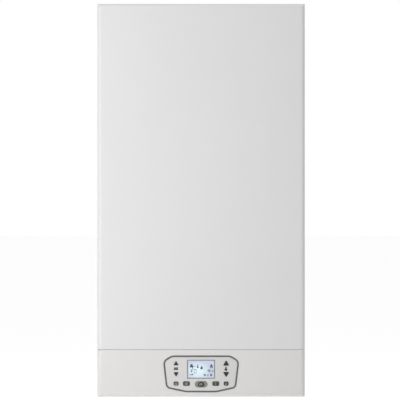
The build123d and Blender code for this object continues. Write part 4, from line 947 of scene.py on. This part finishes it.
# Ribs 6 mm apart between plain cuffs: r = 7.4 + 0.5 sin(2 pi h / 6). The lower end is open.
height = np.linspace(HOSE_END, HOSE_TOP, 215)
ribbed = (height > 20) & (height < 318)
radius = np.where(ribbed, 7.4 + 0.5 * np.sin(height * 2 * np.pi / 6), 7.9)
bore = [(0.1, 30), (6, 30), (6, 0), (7.2, 0)]
hose = np.concatenate([bore, np.stack([radius, height - HOSE_END], -1)])
hose = [turned(hose, (DRAIN_X, DRAIN_DEPTH, HOSE_END), UP, 24)]
skin("condensate_hose_ribbed", hose, polypropylene, CASE, 60, "condensate_hose")

# ---- wiring
# PVC wires run from each device to a trunk in a split corrugated sleeve, which nylon clips hold
# to the back panel. It ends in a nylon connector on the bottom bracket.
TRUNK = (-30, 17.6)
LEAD_CREASE = 70


def lead_line(points, steps=7):
    """A smooth line along control points, the uniform cubic B-spline with both ends held:
    ((1-t)^3 A + (3t^3 - 6t^2 + 4) B + (-3t^3 + 3t^2 + 3t + 1) C + t^3 D) / 6 for each four."""
    points = spot_at(*np.array(points, float).T)
    held = np.concatenate([points[:1]] * 2 + [points] + [points[-1:]] * 2)
    t = np.linspace(0, 1, steps, endpoint=False)[:, None]
    weights = [(1 - t) ** 3, 3 * t**3 - 6 * t**2 + 4, -3 * t**3 + 3 * t**2 + 3 * t + 1, t**3]
    runs = np.stack([held[i : len(held) - 3 + i] for i in range(4)], 1)
    line = (np.concatenate(weights, 1) / 6 @ runs).reshape(-1, 3)
    return np.concatenate([line, points[-1:]])


# The sleeve's corrugations, 3.4 mm apart along its run: r = 5 + 0.4 sin(2 pi run / 3.4).
trunk = [(*TRUNK, height) for height in (336, 300, 240, 180, 120, 86)]
trunk += [(-30, 22, 58), (-30, 44, 42), (-30, 66, 37), (-30, 85, 36)]
trunk = lead_line(trunk, 60)
run = np.concatenate([[0], np.cumsum(np.linalg.norm(np.diff(trunk, axis=0), axis=1))])
radius = (5 + 0.4 * np.sin(2 * np.pi * run / (3.4 * MM))) * MM
sleeve = [tube(trunk, radius[:, None, None], 14)]
skin("loom_trunk", sleeve, duct_nylon, crease=LEAD_CREASE)

fan = [(-70, 294, 345.6), (-70, 293, 334), (-70, 276, 318), (-67, 200, 308), (-60, 100, 302)]
fan += [(-46, 34, 300), (-34, 21, 288), (-30.5, 19, 262)]
pump = [(107, 130, 233), (92, 129, 234), (78, 108, 246), (64, 52, 252), (30, 25, 250)]
pump += [(-8, 21, 246), (-27, 20, 234), (-30, 19, 212)]
lower_coil = [(-149, 268, 361.5), (-150, 268, 340), (-157, 244, 320), (-152, 160, 306)]
lower_coil += [(-120, 70, 300), (-70, 27, 296), (-42, 22, 290), (-31, 19, 266)]
upper_coil = [(-157.5, 267, 401), (-167, 266, 398), (-171, 262, 370), (-167, 250, 336)]
upper_coil += [(-160, 238, 316), (-156, 156, 301), (-124, 66, 294), (-72, 23, 290)]
upper_coil += [(-44, 21, 284), (-31, 19, 258)]
diverter = [(-130, 80, 195), (-130, 80, 206), (-123, 60, 216), (-90, 29, 215)]
diverter += [(-50, 22, 209), (-31, 19, 188)]
flow_sensor = [(-181, 150, 470), (-176, 141, 456), (-177, 120, 400), (-178, 110, 346)]
flow_sensor += [(-150, 60, 320), (-80, 26, 309), (-44, 21, 302), (-30.5, 19, 280)]
return_sensor = [(159, 150, 440), (155, 138, 425), (158, 113, 380), (150, 102, 342)]
return_sensor += [(120, 50, 322), (40, 24, 314), (-14, 21, 307), (-29.5, 19, 286)]
spark = [(176, 118, 622.5), (178, 117, 606), (204, 112, 580), (207, 110, 500), (207, 108, 400)]
spark += [(200, 98, 338), (168, 50, 316), (60, 25, 306), (-10, 21, 298), (-29, 19, 274)]
for colour, tones, routes in (
    ("black", ("#1C1C1E", "#29292B"), (fan, pump)),
    ("grey", ("#7A7D80", "#8B8E90"), (lower_coil, upper_coil, diverter)),
    ("white", ("#D5D3CD", "#E2E0DB"), (flow_sensor, return_sensor, spark)),
):
    # Flexible PVC insulation: even in colour, with a dull shine.
    pvc = grained("pvc_insulation_" + colour, 5, 2, 0.45, tones)
    leads = [tube(lead_line(points), 2.1 * MM, 10) for points in routes]
    skin("loom_leads_" + colour, leads, pvc, crease=LEAD_CREASE)

# Unfilled nylon: milky white with a faint waxy mottle.
nylon_white = grained("moulded_nylon_natural", 5.5, 2, 0.4, ("#D8D6CC", "#E6E4DC"))
clip = [(5.2, -4), (6.8, -4), (6.8, 4), (5.2, 4), (5.2, -4)]
holders = [turned(clip, (*TRUNK, height), UP, 28) for height in (322, 230, 140)]
holders += [block(pad(30, 26, 2), -30, 36, ((1, 84), (1, 103)))]
sockets = [bar(-30 + x, 36 + y, 5, 5) for x in (-9, -3, 3, 9) for y in (-5, 5)]
holders += plates(sockets, 102, 104.5)
skin("loom_clips_and_connector", holders, nylon_white)

# ---- ignition and pipe sensors
# The spark generator is a potted black box on the frame beside the casting; two silicone leads
# run from its towers to the electrodes. Spring clips hold a sensor to each heating pipe.
SPARK_FACE = 127.6
steps = ((1, 103.2), (1, 125), (0.94, 127.5), (0.1, SPARK_FACE))
generator = [block(pad(50, 36, 4), 165, 640, steps)]
tower = [(4.6, -1), (4.6, 4), (3.6, 6), (0.1, 6)]
generator += [turned(tower, (x, SPARK_FACE, h), OUT, 24) for x, h in ((152, 648), (164, 634))]
skin("spark_generator", generator, duct_nylon)
left = [(59, 251.5, 560), (59, 262, 561), (70, 272, 580), (104, 256, 612), (136, 180, 640)]
left += [(151, 146, 647), (152, 133, 648)]
right = [(81, 251.5, 560), (81, 261, 560), (92, 268, 572), (118, 244, 598), (148, 170, 626)]
right += [(163, 146, 633), (164, 133, 634)]
leads = [tube(lead_line(points), 2.6 * MM, 12) for points in (left, right)]
skin("ignition_leads", leads, silicone_boot, crease=LEAD_CREASE)

clip = [(9.1, -7), (10.2, -7), (10.2, 7), (9.1, 7), (9.1, -7)]
sensor = pad(9, 13, 1.6)
clips = [turned(clip, (x, 150, h), UP, 36) for x, h in ((-192, 470), (170, 440))]
for ends, h in (((-182.2, -177), 470), ((155, 160.2), 440)):
    clips += [np.stack([spot_at(x, 150 + sensor[:, 0], h + sensor[:, 1]) for x in ends])]
skin("pipe_sensors", clips, bright_zinc)

# ---- closing the case
# Screws hold the sides and the roof to the back panel. A rubber strip on each side's front edge
# meets the cover, and charcoal polyurethane foam is bonded inside the cover against noise.
HALF_WIDTH, ROOF, SCREW_DEPTH = 220, 833, 6
SIDE_MIDDLE = 466
sides = ((-HALF_WIDTH, LEFT), (HALF_WIDTH, RIGHT))
seats = [((x, SCREW_DEPTH, h), way) for x, way in sides for h in (60, 300, 540, 780)]
seats += [((x, SCREW_DEPTH, ROOF), UP) for x in (-190, 0, 190)]
screws("case_screws", seats, 3.4)
strips = plates([bar(x, SIDE_MIDDLE, 5, 720) for x in (-214, 214)], 319.9, 321.3)
skin("case_seal_strips", strips, seal_rubber)

# Open cells 1.5 mm wide and a soft unevenness give the foam a dark felt-like face.
sound_foam, tree, spot = finish("open_cell_foam_charcoal", Roughness=0.9)
toned(node(tree, "TexNoise", sized(spot, 40, Detail=4)), ("#3C3D3F", "#55565A"))
raised(node(tree, "TexVoronoi", sized(spot, 1.5)), 0.7, 0.4)
steps = ((1, 349), (1, 343.2), (0.996, 341.6), (0.986, 341))
mat = [block(pad(376, 700, 14), 0, SIDE_MIDDLE, steps)]
skin("cover_foam", mat, sound_foam, "cover")
